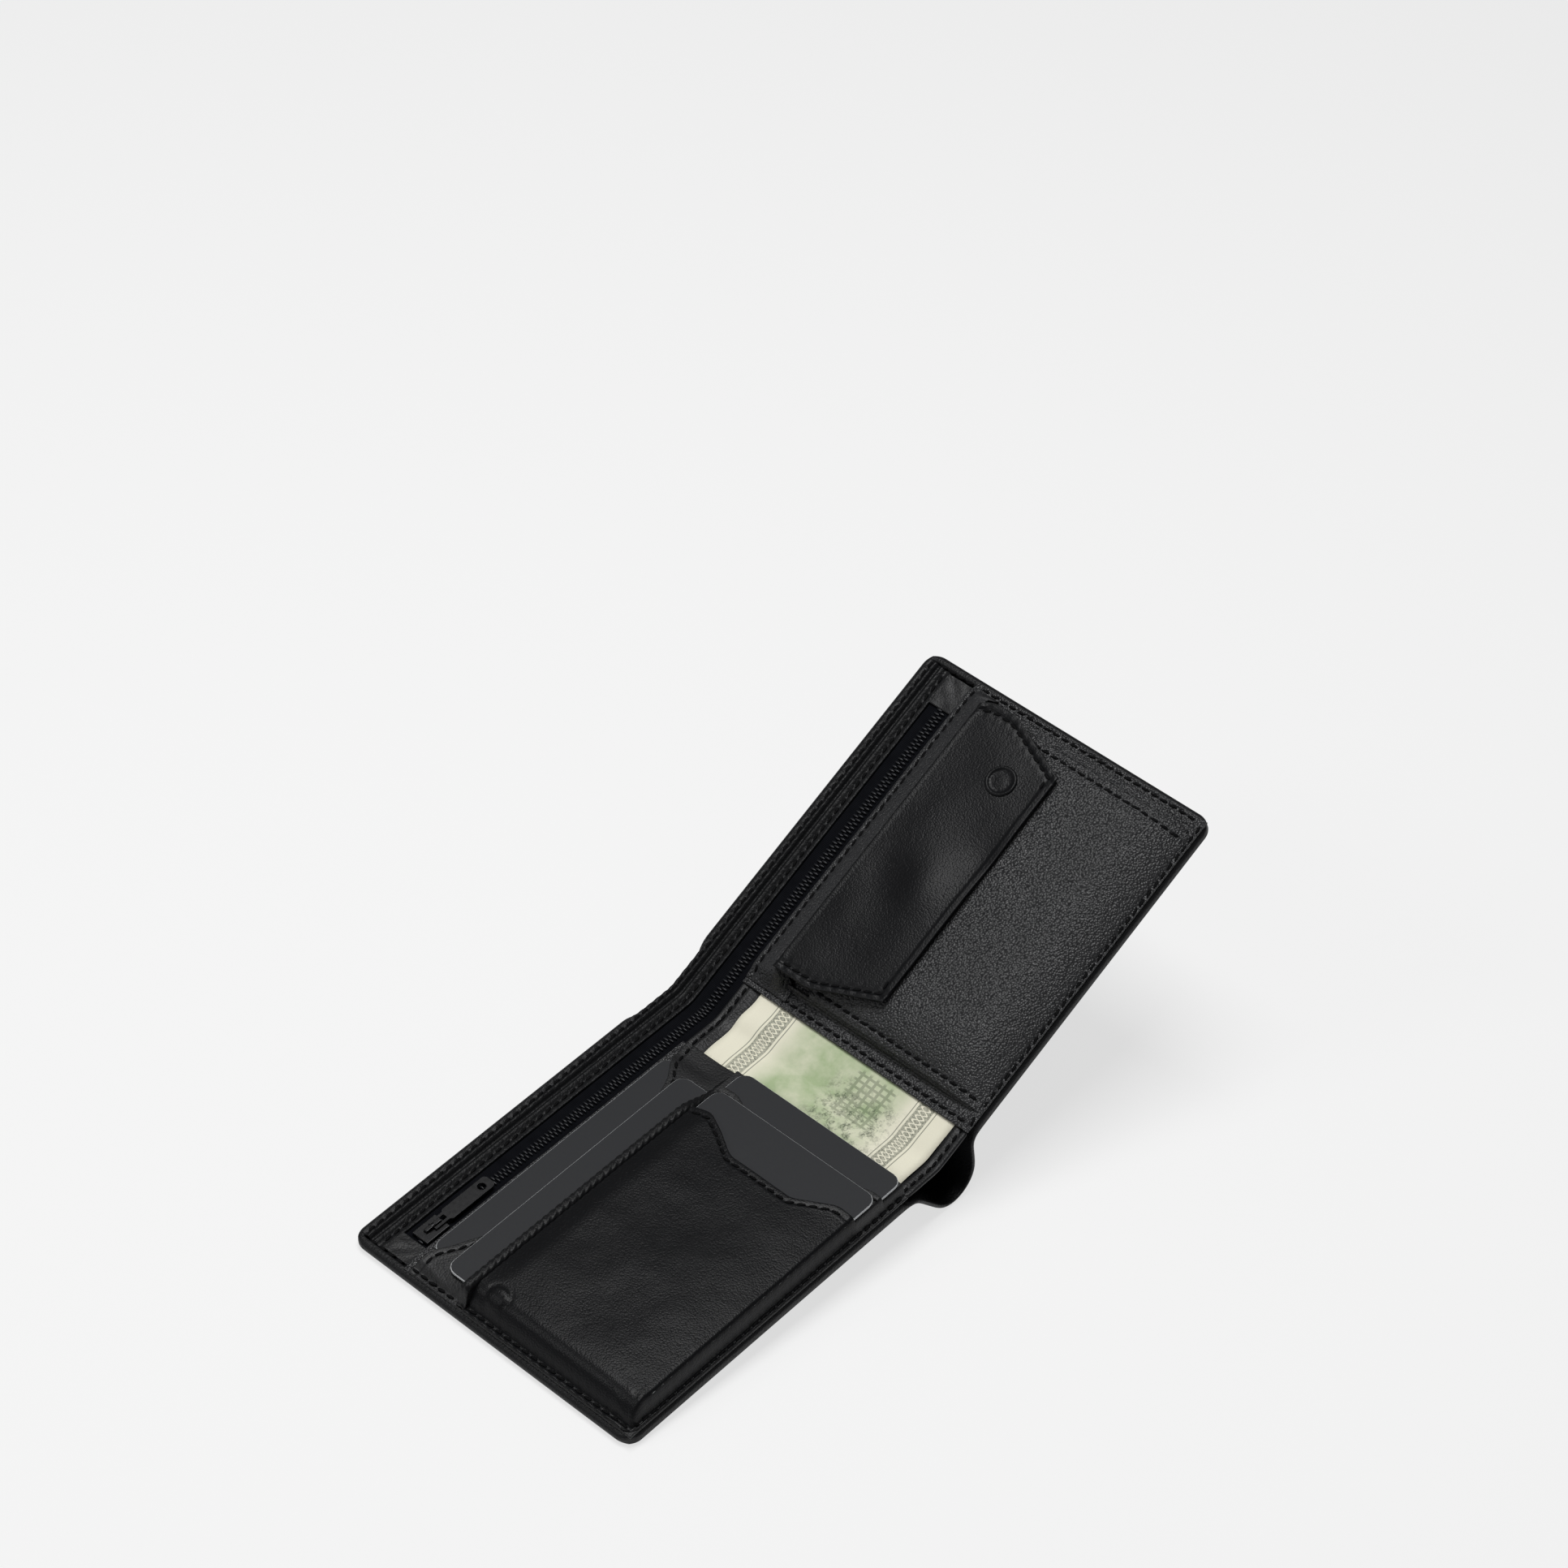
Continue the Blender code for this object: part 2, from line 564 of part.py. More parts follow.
for old in list(bpy.data.objects):
    bpy.data.objects.remove(old)
PARTS = bpy.data.collections.new("bifold_wallet")
CUTTERS = bpy.data.collections.new("cutters")
for group in (PARTS, CUTTERS):
    bpy.context.scene.collection.children.link(group)
LEATHER = material("black_leather", (0.018, 0.018, 0.020), 0.5)
LINING_CLOTH = material("black_lining", (0.012, 0.012, 0.014), 0.85)
TAPE = material("zip_tape_cloth", (0.010, 0.011, 0.015), 0.8)
ZIP_PLASTIC = material("zip_teeth_plastic", (0.012, 0.012, 0.014), 0.35)
METAL = material("black_metal", (0.03, 0.03, 0.03), 0.3, 0.9)
CARD_PLASTIC = material("grey_card_plastic", (0.045, 0.046, 0.050), 0.45)
NOTE_PAPER = material("note_paper", (0.62, 0.63, 0.45), 0.8)
build()
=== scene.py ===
"""Bifold wallet: leather, stitching, zip, cards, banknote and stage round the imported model.

Lengths in the shape functions are millimetres. Each half of the wallet has a flat frame: u runs from
the fold to the outer edge, v along the fold and w up from the cover's outside.
"""

import math

import bmesh
import bpy
from bpy.props import FloatProperty, FloatVectorProperty, PointerProperty
from mathutils import Matrix, Vector, noise


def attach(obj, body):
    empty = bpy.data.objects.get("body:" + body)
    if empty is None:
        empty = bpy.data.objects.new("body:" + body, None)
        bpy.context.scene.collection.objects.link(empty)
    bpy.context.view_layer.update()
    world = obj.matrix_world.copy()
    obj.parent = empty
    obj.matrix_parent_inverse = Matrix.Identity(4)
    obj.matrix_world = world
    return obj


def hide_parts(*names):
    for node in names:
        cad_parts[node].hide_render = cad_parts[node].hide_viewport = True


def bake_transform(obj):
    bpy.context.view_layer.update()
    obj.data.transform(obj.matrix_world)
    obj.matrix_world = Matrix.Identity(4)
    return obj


bl_info = {
    "name": "Bifold wallet",
    "version": (1, 0, 0),
    "blender": (4, 5, 0),
    "location": "View3D > Sidebar > Wallet",
    "description": "Builds a leather bifold wallet round its packed model",
    "category": "Add Mesh",
}

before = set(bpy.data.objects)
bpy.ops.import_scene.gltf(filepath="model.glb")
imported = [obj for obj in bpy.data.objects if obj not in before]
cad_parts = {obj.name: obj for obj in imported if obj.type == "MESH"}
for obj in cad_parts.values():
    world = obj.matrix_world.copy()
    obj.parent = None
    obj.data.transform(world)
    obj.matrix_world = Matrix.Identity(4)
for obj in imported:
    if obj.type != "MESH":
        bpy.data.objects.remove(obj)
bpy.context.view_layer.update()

MM = 0.001
CARD, COIN = -1, 1
HALF_BODY = {CARD: "card_side", COIN: "coin_side"}

# The part's own driving sizes
HALF_WIDTH = 115.5
HALF_HEIGHT = 47.7
COVER_CORNER = 4.5
OPEN_ANGLE = math.radians(24.7)
FOLD_AXIS_W = 10.9
ROLL_CENTRE = (5.0, -6.0)
ROLL_RADIUS = 7.5
ROLL_CARD_END = (-10.4, 0.5)
ROLL_COIN_END = (12.2, 0.5)
RIM_TOP = 3.0
TILT = math.asin(8.0 / math.hypot(5.0 + HALF_WIDTH, 6.0)) + math.atan2(6.0, 5.0 + HALF_WIDTH)
RAISED = TILT + OPEN_ANGLE
FOLD_Z = HALF_WIDTH * math.sin(TILT)
FOLD_X = (HALF_WIDTH * math.cos(TILT) + RIM_TOP * math.sin(TILT) - HALF_WIDTH * math.cos(RAISED)) / 2
BEND_U = FOLD_AXIS_W * math.tan(OPEN_ANGLE / 2)

# Seams and mouths of the inner panels
EDGE_U = 114.2
EDGE_V = -47.0
SEAM_U = 113.0
SEAM_V = -46.2
WALL_U = 112.4
WALL_V = -45.9
PANEL_TOP_V = 30.2
PANEL_FOLD_U = 13.0
COIN_PANEL_FOLD_U = 12.4
SLOT_MOUTH = [(13.0, 28.6), (20.5, 27.4), (26.0, 23.4), (31.5, 21.4), (38.0, 18.0), (89.0, 18.0),
              (95.5, 22.0), (103.0, 25.4), (107.0, 28.2), (114.5, 28.6)]
DIVIDER_MOUTH = [(-47.0, 20.8), (-41.0, 20.8), (-36.5, 23.0), (-31.0, 27.5), (-7.0, 27.5), (-2.0, 23.0),
                 (4.5, 20.0), (9.3, 20.3)]
FRONT_MOUTH = [(-47.0, 31.2), (-39.8, 31.2), (-29.5, 37.5), (-9.0, 37.5), (-2.0, 33.2), (4.0, 30.2),
               (9.3, 31.3)]
ZIP_V = 34.3
COIL_START, COIL_LENGTH, COIL_PITCH, COIL_W = -104.8, 207.5, 1.3, 2.2
STITCH_LENGTH, STITCH_WIDTH = 2.4, 0.86

POUCH_LOW_U, POUCH_HIGH_U = 18.2, 108.6
POUCH_MOUTH_V = 11.0
SNAP_AT = (92.7, 3.1)
FLAP_LOW_V, FLAP_HIGH_V = -9.3, 22.2
FLAP_LEFT = [(FLAP_LOW_V, 27.0), (10.2, 19.0), (FLAP_HIGH_V, 19.0)]
FLAP_RIGHT = [(FLAP_LOW_V, 101.4), (11.0, 109.8), (19.0, 109.8), (FLAP_HIGH_V, 107.6)]
STRIP_LOW_U, STRIP_HIGH_U = 14.0, 112.4
STRIP_SEAM_V = 28.4
BAND_LOW_V, BAND_HIGH_V, BAND_HIGH_U = 9.3, 12.2, 113.8
POCKET_CORNER = 3.5
FACING_LOW_V, FACING_HIGH_V, FACING_U = 38.7, 46.3, 112.9
FACING_SEAMS_V = (45.1, 40.4)
TAB_LOW_V, TAB_HIGH_V = 29.6, 39.4

# Spans that the shaped panels are laid out over
SLOT_SPAN, DIVIDER_SPAN, FRONT_SPAN, STRIP_SPAN, FLAP_SPAN, NOTE_DIVIDER_SPAN = 70.0, 94.0, 83.0, 10.0, 90.0, 76.8

# How far in from an edge the places of a panel lie close together
RIM_STEPS = (0.0, 0.06, 0.18, 0.36, 0.6, 0.9, 1.2, 1.5, 1.8, 2.15, 2.55, 3.0, 3.6, 4.4, 5.4, 6.6)


def on_half(side, u, v, w):
    """A point of one half's flat frame, in the row frame, in metres."""
    lift = TILT if side == CARD else RAISED
    x = side * u
    return Vector((FOLD_X + x * math.cos(lift) - w * math.sin(lift), v,
                   FOLD_Z + x * math.sin(lift) + w * math.cos(lift))) * MM


def across(q, v, w):
    """A point of a layer that crosses the fold: q is -u on the card side and u on the coin side."""
    if abs(q) >= BEND_U:
        return on_half(CARD if q < 0 else COIN, abs(q), v, w)
    turn = OPEN_ANGLE * (q / BEND_U + 1) / 2
    reach = FOLD_AXIS_W - w
    x = -BEND_U + reach * math.sin(turn)
    return on_half(CARD, -x, v, FOLD_AXIS_W - reach * math.cos(turn))


def smooth(t):
    """Smooth step from 0 to 1."""
    t = min(1.0, max(0.0, t))
    return t * t * (3 - 2 * t)


def puff(distance, width, power=3.0):
    """Rise of padded leather from a seam: steep at first, then flat."""
    t = min(1.0, max(0.0, distance / width))
    return 1 - (1 - t) ** power


def round_over(distance, radius):
    """Drop of a rounded edge at a distance in from it."""
    if distance >= radius:
        return 0.0
    return radius - math.sqrt(max(0.0, radius ** 2 - (radius - distance) ** 2))


def groove(distance, depth=0.32, width=0.6):
    """Depth that a row of stitches pulls into the leather."""
    return depth * math.exp(-(distance / width) ** 2)


def pucker(distance, along, pitch=3.0, depth=0.13):
    """Small swellings of the leather on both sides of a row of stitches."""
    return depth * math.cos(2 * math.pi * along / pitch) * math.exp(-((abs(distance) - 0.9) / 0.7) ** 2)


def hem(distance, height, width):
    """Extra thickness of a turned edge."""
    return height * (1 - smooth((distance - width) / 0.7))


def uneven(u, v, size, depth, seed):
    """Slow unevenness of hand-worked leather."""
    return depth * noise.noise(Vector((u / size, v / size, seed)))


def follow(line, at):
    """Value of a line of (place, value) pairs, with its corners softened."""
    total = 0.0
    for shift in (-1.2, -0.6, 0.0, 0.6, 1.2):
        here = min(max(at + shift, line[0][0]), line[-1][0])
        for (low, first), (high, last) in zip(line, line[1:]):
            if here <= high:
                total += first + (last - first) * (here - low) / (high - low)
                break
    return total / 5


def ticks(low, high, step, start=True, end=True):
    """Places from low to high, close together near an end that has an edge."""
    span = high - low
    first = [low + r for r in RIM_STEPS if r < span * 0.45] if start else [low]
    last = [high - r for r in RIM_STEPS if r < span * 0.45] if end else [high]
    count = max(1, round((last[-1] - first[-1]) / step))
    middle = [first[-1] + (last[-1] - first[-1]) * k / count for k in range(1, count)]
    return first + middle + last[::-1]


def shares(span, step):
    """Places from 0 to 1 over a span of that many millimetres, close together near both ends."""
    return [t / span for t in ticks(0.0, span, step)]


def finished(name, mesh, finish):
    """An object at the origin from a bmesh, smooth and with the finish of that name."""
    bmesh.ops.recalc_face_normals(mesh, faces=mesh.faces)
    for face in mesh.faces:
        face.smooth = True
    data = bpy.data.meshes.new(name)
    mesh.to_mesh(data)
    mesh.free()
    data.materials.append(bpy.data.materials[finish])
    piece = bpy.data.objects.new(name, data)
    bpy.context.scene.collection.objects.link(piece)
    return piece


def slab(name, first, second, place, finish):
    """A closed sheet over a grid of places; place(a, b, over) puts each corner of it."""
    mesh = bmesh.new()
    columns, rows = len(first) - 1, len(second) - 1
    bmesh.ops.create_grid(mesh, x_segments=columns, y_segments=rows, size=0.5)
    bmesh.ops.solidify(mesh, geom=mesh.faces[:], thickness=0.1)
    flat = mesh.loops.layers.uv.new("flat")
    spots = {}
    for corner in mesh.verts:
        a = first[round((corner.co.x + 0.5) * columns)]
        b = second[round((corner.co.y + 0.5) * rows)]
        spots[corner] = (a, b)
        corner.co = place(a, b, corner.co.z > -0.05)
    for face in mesh.faces:
        for loop in face.loops:
            loop[flat].uv = Vector(spots[loop.vert]) * MM
    return finished(name, mesh, finish)


def panel(name, side, node_name, first, second, spot, top, thick, edge, finish, body=None):
    """A leather layer of one half: spot(a, b) gives u and v, top(u, v) its height, edge(a, b) how far in it is."""
    radius = thick * 0.48

    def place(a, b, over):
        u, v = spot(a, b)
        drop = round_over(edge(a, b), radius)
        high = top(u, v)
        return on_half(side, u, v, high - drop if over else high - thick + drop)

    on_body(slab(name, first, second, place, finish), body or HALF_BODY[side], "black_leather", node_name)


def rim(low_a, high_a, low_b, high_b):
    """How far in from the nearest edge of a rectangle a place is, as a function of the place."""
    return lambda a, b: min(a - low_a, high_a - a, b - low_b, high_b - b)


def share_rim(span, low, high, first=True):
    """The same where the first place, or else the second, is a share of a span."""
    def inset(a, b):
        share, other = (a, b) if first else (b, a)
        return min(share * span, (1 - share) * span, other - low, high - other)

    return inset


def as_given(u, v):
    """The spot of a rectangular panel: its own u and v."""
    return u, v


def sew(name, rows, surface, under=False):
    """Rows of thread stitches on a surface(a, b), as one mesh of small rounded stitches."""
    pitch = bpy.context.scene.wallet_sizes.stitch_pitch / MM
    mesh = bmesh.new()
    for row in rows:
        spent, carry = 0.0, pitch / 2
        for start, end in zip(row, row[1:]):
            step = Vector(end) - Vector(start)
            reach = step.length
            while carry <= spent + reach + 1e-6:
                middle = Vector(start) + step * ((carry - spent) / reach)
                add_stitch(mesh, middle, step.normalized(), surface, under)
                carry += pitch
            spent += reach
    return finished(name, mesh, "black_thread")


def sew_half(name, side, rows, top, body=None, under=False):
    """Stitches on one half at the height top(u, v)."""
    seam = sew(name, rows, lambda u, v: on_half(side, u, v, top(u, v)), under)
    on_body(seam, body or HALF_BODY[side], "black_leather")


def sew_across(name, rows, top):
    """Stitches on a layer that bends with the fold, at the height top(q, v)."""
    over_fold(sew(name, rows, lambda q, v: across(q, v, top(q, v))), "black_leather")


def stretched(axes, at):
    """A matrix from its three axes and its place."""
    place = Matrix.Identity(4)
    for column, axis in enumerate(axes):
        place.col[column].xyz = axis
    place.translation = at
    return place


def add_stitch(mesh, middle, along, surface, under):
    """One stitch, sunk by half into the surface and turned a little off its row."""
    aside = Vector((-along.y, along.x))
    here = surface(*middle)
    forward = surface(*(middle + along * 0.5)) - surface(*(middle - along * 0.5))
    sideways = surface(*(middle + aside * 0.4)) - surface(*(middle - aside * 0.4))
    forward.normalize()
    up = forward.cross(sideways).normalized()
    if (up.z < 0) != under:
        up = -up
    sideways = up.cross(forward)
    odd = noise.noise(here * 900.0)
    slant = math.radians(8 + 10 * odd)
    ahead = forward * math.cos(slant) + sideways * math.sin(slant)
    beside = up.cross(ahead)
    sizes = (STITCH_WIDTH / 2, STITCH_WIDTH * 0.36, STITCH_LENGTH / 2 * (1 + 0.15 * odd))
    axes = [axis * size * MM for axis, size in zip((beside, up, ahead), sizes)]
    bmesh.ops.create_uvsphere(mesh, u_segments=8, v_segments=5, radius=1.0,
                              matrix=stretched(axes, here + up * STITCH_WIDTH * 0.15 * MM))


def refined(name, node, finish, bevel, segments=2):
    """A copy of a CAD node's shape with its doubles merged and its edges rounded."""
    mesh = bmesh.new()
    mesh.from_mesh(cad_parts[node].data)
    bmesh.ops.remove_doubles(mesh, verts=mesh.verts, dist=0.004 * MM)
    bmesh.ops.dissolve_limit(mesh, angle_limit=math.radians(1), verts=mesh.verts, edges=mesh.edges)
    sharp = [edge for edge in mesh.edges if edge.is_manifold and edge.calc_face_angle() > math.radians(40)]
    bmesh.ops.bevel(mesh, geom=sharp, offset=bevel * MM, offset_type="OFFSET", segments=segments, profile=0.5,
                    affect="EDGES", clamp_overlap=True, material=-1)
    piece = finished(name, mesh, finish)
    for face in piece.data.polygons:
        face.use_smooth = False
    for edge in piece.data.edges:
        edge.use_edge_sharp = False
    return piece


# Materials


def node(tree, kind, inputs=None, **settings):
    """A shader node with its settings, its constants and its links from other nodes' sockets."""
    made = tree.nodes.new(kind)
    for key, value in settings.items():
        setattr(made, key, value)
    for socket, value in (inputs or {}).items():
        if isinstance(value, bpy.types.NodeSocket):
            tree.links.new(value, made.inputs[socket])
        else:
            made.inputs[socket].default_value = value
    return made


def maths(tree, operation, *values):
    """The result of a Math node."""
    return node(tree, "ShaderNodeMath", dict(enumerate(values)), operation=operation).outputs[0]


def new_group(name, inputs, outputs):
    """An empty node group with named sockets; gives the tree, its inputs and its output node."""
    tree = bpy.data.node_groups.new(name, "ShaderNodeTree")
    for label, kind, default in inputs:
        socket = tree.interface.new_socket(name=label, in_out="INPUT", socket_type=kind)
        if default is not None:
            socket.default_value = default
    for label, kind in outputs:
        tree.interface.new_socket(name=label, in_out="OUTPUT", socket_type=kind)
    return tree, tree.nodes.new("NodeGroupInput").outputs, tree.nodes.new("NodeGroupOutput")


def leather_skin_group():
    """Leather grain: pebbles with fine furrows between them, slow changes of tone, and painted shade that darkens the
    furrows between the pebbles.
    """
    tree, given, out = new_group(
        "leather_skin",
        [("Vector", "NodeSocketVector", None), ("Pebbles", "NodeSocketFloat", 1600.0),
         ("Creases", "NodeSocketFloat", 150.0), ("Crease Depth", "NodeSocketFloat", 1.0)],
        [("Height", "NodeSocketFloat"), ("Tone and Shade", "NodeSocketFloat")])
    warp = node(tree, "ShaderNodeTexNoise", {"Vector": given["Vector"], "Scale": 700.0, "Detail": 1.0})
    shift = node(tree, "ShaderNodeVectorMath", {0: warp.outputs["Color"], "Scale": 0.0005}, operation="SCALE")
    bent = node(tree, "ShaderNodeVectorMath", {0: given["Vector"], 1: shift.outputs[0]}, operation="ADD")
    cells = node(tree, "ShaderNodeTexVoronoi", {"Vector": bent.outputs[0], "Scale": given["Pebbles"]},
                 feature="F1").outputs["Distance"]
    pebble = maths(tree, "SUBTRACT", 1.0, maths(tree, "MULTIPLY", cells, cells))
    folds = node(tree, "ShaderNodeTexNoise", {"Vector": given["Vector"], "Scale": given["Creases"],
                                              "Detail": 2.0, "Roughness": 0.5})
    crease = maths(tree, "MULTIPLY", folds.outputs["Fac"], given["Crease Depth"])
    height = maths(tree, "ADD", pebble, crease)
    tree.links.new(height, out.inputs["Height"])
    slow = node(tree, "ShaderNodeTexNoise", {"Vector": given["Vector"], "Scale": 55.0, "Detail": 3.0})
    # Tone: slow random changes plus the pebble height, which paints the furrows darker as painted shade.
    tone = maths(tree, "ADD", maths(tree, "MULTIPLY", slow.outputs["Fac"], 0.6),
                 maths(tree, "MULTIPLY", pebble, 0.4))
    tree.links.new(tone, out.inputs["Tone and Shade"])


def weave_group():
    """Plain weave on a piece's own flat map: threads over and under, with painted shade that darkens the low gaps
    between threads.
    """
    tree, given, out = new_group(
        "cloth_weave",
        [("Vector", "NodeSocketVector", None), ("Threads", "NodeSocketFloat", 2200.0)],
        [("Height", "NodeSocketFloat"), ("Tone and Shade", "NodeSocketFloat")])
    axes = node(tree, "ShaderNodeSeparateXYZ", {0: given["Vector"]}).outputs
    waves = [maths(tree, "SINE", maths(tree, "MULTIPLY", axes[axis], given["Threads"])) for axis in ("X", "Y")]
    crossed = maths(tree, "MULTIPLY", *waves)
    height = maths(tree, "ABSOLUTE", crossed)
    tree.links.new(height, out.inputs["Height"])
    slow = node(tree, "ShaderNodeTexNoise", {"Vector": given["Vector"], "Scale": 300.0, "Detail": 2.0})
    # Tone follows the weave's height, so the gaps between threads are painted darker as painted shade.
    tree.links.new(maths(tree, "MULTIPLY", slow.outputs["Fac"], height), out.inputs["Tone and Shade"])


def principled(name, roughness, specular=0.5, metallic=0.0):
    """A new material; gives its tree and its Principled shader with the plain values set."""
    made = bpy.data.materials.new(name)
    made.use_nodes = True
    shader = made.node_tree.nodes["Principled BSDF"]
    shader.inputs["Roughness"].default_value = roughness
    shader.inputs["Specular IOR Level"].default_value = specular
    shader.inputs["Metallic"].default_value = metallic
    return made.node_tree, shader


def own_place(tree):
    """The place in the piece's own space."""
    return tree.nodes.new("ShaderNodeTexCoord").outputs["Object"]


def ranged(tree, value, low, high, to_low=0.0, to_high=1.0):
    """A value from low to high mapped onto another range and held at its ends."""
    return node(tree, "ShaderNodeMapRange", {"Value": value, "From Min": low, "From Max": high, "To Min": to_low,
                                             "To Max": to_high}).outputs[0]


def dyed(tree, tone, dark, light):
    """A colour between two, by tone."""
    mix = node(tree, "ShaderNodeMix", {0: tone, 6: (*dark, 1.0), 7: (*light, 1.0)}, data_type="RGBA")
    return mix.outputs[2]


def dye(tree, shader, tone, colour, dark, light):
    """Colour a shader by tone, from a dark to a light share of one colour."""
    shades = [[c * share for c in colour] for share in (dark, light)]
    tree.links.new(dyed(tree, tone, *shades), shader.inputs["Base Color"])


def bumped(tree, shader, height, distance):
    """Give a shader a bump from a height."""
    bump = node(tree, "ShaderNodeBump", {"Height": height, "Distance": distance * MM})
    tree.links.new(bump.outputs[0], shader.inputs["Normal"])


def leather(name, colour, pebbles, depth, creases, crease_depth, roughness, specular=0.5):
    """Dyed leather with its own grain, tone and gloss; its colour is darkened in the grain's furrows as painted shade.
    """
    tree, shader = principled(name, roughness, specular)
    place = own_place(tree)
    skin = node(tree, "ShaderNodeGroup", node_tree=bpy.data.node_groups["leather_skin"])
    tree.links.new(place, skin.inputs["Vector"])
    for label, value in (("Pebbles", pebbles), ("Creases", creases), ("Crease Depth", crease_depth)):
        skin.inputs[label].default_value = value
    tone = skin.outputs["Tone and Shade"]
    # The grain's tone darkens the furrows between pebbles: painted shade.
    dye(tree, shader, tone, colour, 0.72, 1.3)
    tree.links.new(ranged(tree, tone, 0.2, 0.9, roughness + 0.09, roughness - 0.07), shader.inputs["Roughness"])
    bumped(tree, shader, skin.outputs["Height"], depth)


def cloth(name, colour, threads):
    """Woven cloth on the piece's flat map, dyed darker in the weave's gaps as painted shade."""
    tree, shader = principled(name, 0.9, 0.0)
    place = node(tree, "ShaderNodeUVMap", uv_map="flat").outputs[0]
    weave = node(tree, "ShaderNodeGroup", node_tree=bpy.data.node_groups["cloth_weave"])
    tree.links.new(place, weave.inputs["Vector"])
    weave.inputs["Threads"].default_value = threads
    # The weave's tone darkens the gaps between threads: painted shade.
    dye(tree, shader, weave.outputs["Tone and Shade"], colour, 0.45, 1.6)
    bumped(tree, shader, weave.outputs["Height"], 0.03)


def thread(name, colour):
    """Waxed sewing thread with its twist."""
    tree, shader = principled(name, 0.6, 0.06)
    twist = node(tree, "ShaderNodeTexNoise", {"Vector": own_place(tree), "Scale": 2600.0, "Detail": 2.0})
    dye(tree, shader, twist.outputs["Fac"], colour, 0.5, 1.5)
    bumped(tree, shader, twist.outputs["Fac"], 0.12)


def speckled(name, colour, roughness, specular, scale, depth, metallic=0.0, spread=0.12):
    """Moulded plastic or painted metal with a fine mottle."""
    tree, shader = principled(name, roughness, specular, metallic)
    mottle = node(tree, "ShaderNodeTexNoise", {"Vector": own_place(tree), "Scale": scale, "Detail": 4.0,
                                               "Roughness": 0.6}).outputs["Fac"]
    dye(tree, shader, mottle, colour, 1 - spread, 1 + spread)
    tree.links.new(ranged(tree, mottle, 0.3, 0.7, roughness - 0.05, roughness + 0.05), shader.inputs["Roughness"])
    bumped(tree, shader, mottle, depth)


def between(tree, value, low, high, soft=0.0004):
    """A mask that is 1 from low to high, with soft ends."""
    rise = ranged(tree, value, low - soft, low + soft)
    fall = ranged(tree, value, high - soft, high + soft, 1.0, 0.0)
    return maths(tree, "MULTIPLY", rise, fall)


def note_paper(name, paper, green, ink):
    """Printed paper with a generic pattern: pale margins, two ornament bands, fine rules, a green field."""
    tree, shader = principled(name, 0.75, 0.3)
    place = node(tree, "ShaderNodeUVMap", uv_map="flat").outputs[0]
    axes = node(tree, "ShaderNodeSeparateXYZ", {0: place}).outputs
    q, v = axes["X"], axes["Y"]
    fibre = node(tree, "ShaderNodeTexNoise", {"Vector": place, "Scale": 2400.0, "Detail": 3.0})
    cloud = node(tree, "ShaderNodeTexNoise", {"Vector": place, "Scale": 95.0, "Detail": 4.0, "Roughness": 0.6})
    base = dyed(tree, fibre.outputs["Fac"], [c * 0.93 for c in paper], paper)
    field = between(tree, v, -0.0265, 0.0080, 0.0035)
    wash = maths(tree, "MULTIPLY", field, ranged(tree, cloud.outputs["Fac"], 0.32, 0.62, 0.35))
    colour = node(tree, "ShaderNodeMix", {0: wash, 6: base, 7: (*green, 1.0)}, data_type="RGBA").outputs[2]
    engraved = node(tree, "ShaderNodeTexVoronoi", {"Vector": place, "Scale": 900.0}, feature="DISTANCE_TO_EDGE")
    leaves = node(tree, "ShaderNodeTexNoise", {"Vector": place, "Scale": 330.0, "Detail": 5.0, "Roughness": 0.75})
    lines = maths(tree, "LESS_THAN", engraved.outputs["Distance"], 0.10)
    grove = maths(tree, "MULTIPLY", between(tree, v, -0.0290, -0.0085, 0.0030),
                  ranged(tree, leaves.outputs["Fac"], 0.47, 0.60))
    grove = maths(tree, "MULTIPLY", grove, between(tree, q, -0.0115, 0.0065, 0.0025))
    drawn = maths(tree, "MULTIPLY", grove, maths(tree, "ADD", maths(tree, "MULTIPLY", lines, 0.35), 0.45))
    rules = crossed_rules(tree, q, v)
    rules = maths(tree, "MULTIPLY", rules, between(tree, v, -0.0245, -0.0120, 0.0004))
    rules = maths(tree, "MULTIPLY", rules, between(tree, q, -0.0040, 0.0110, 0.0004))
    drawn = maths(tree, "MAXIMUM", drawn, maths(tree, "MULTIPLY", rules, 0.42))
    drawn = maths(tree, "MAXIMUM", drawn, note_bands(tree, place, q, v))
    final = node(tree, "ShaderNodeMix", {0: drawn, 6: colour, 7: (*ink, 1.0)}, data_type="RGBA").outputs[2]
    tree.links.new(final, shader.inputs["Base Color"])
    bumped(tree, shader, fibre.outputs["Fac"], 0.02)


def crossed_rules(tree, q, v):
    """Fine crossed rules, as engraved panels have."""
    rows = []
    for value, scale in ((q, 3300.0), (v, 2700.0)):
        wave = maths(tree, "SINE", maths(tree, "MULTIPLY", value, scale))
        rows.append(maths(tree, "GREATER_THAN", wave, 0.45))
    return maths(tree, "MAXIMUM", *rows)


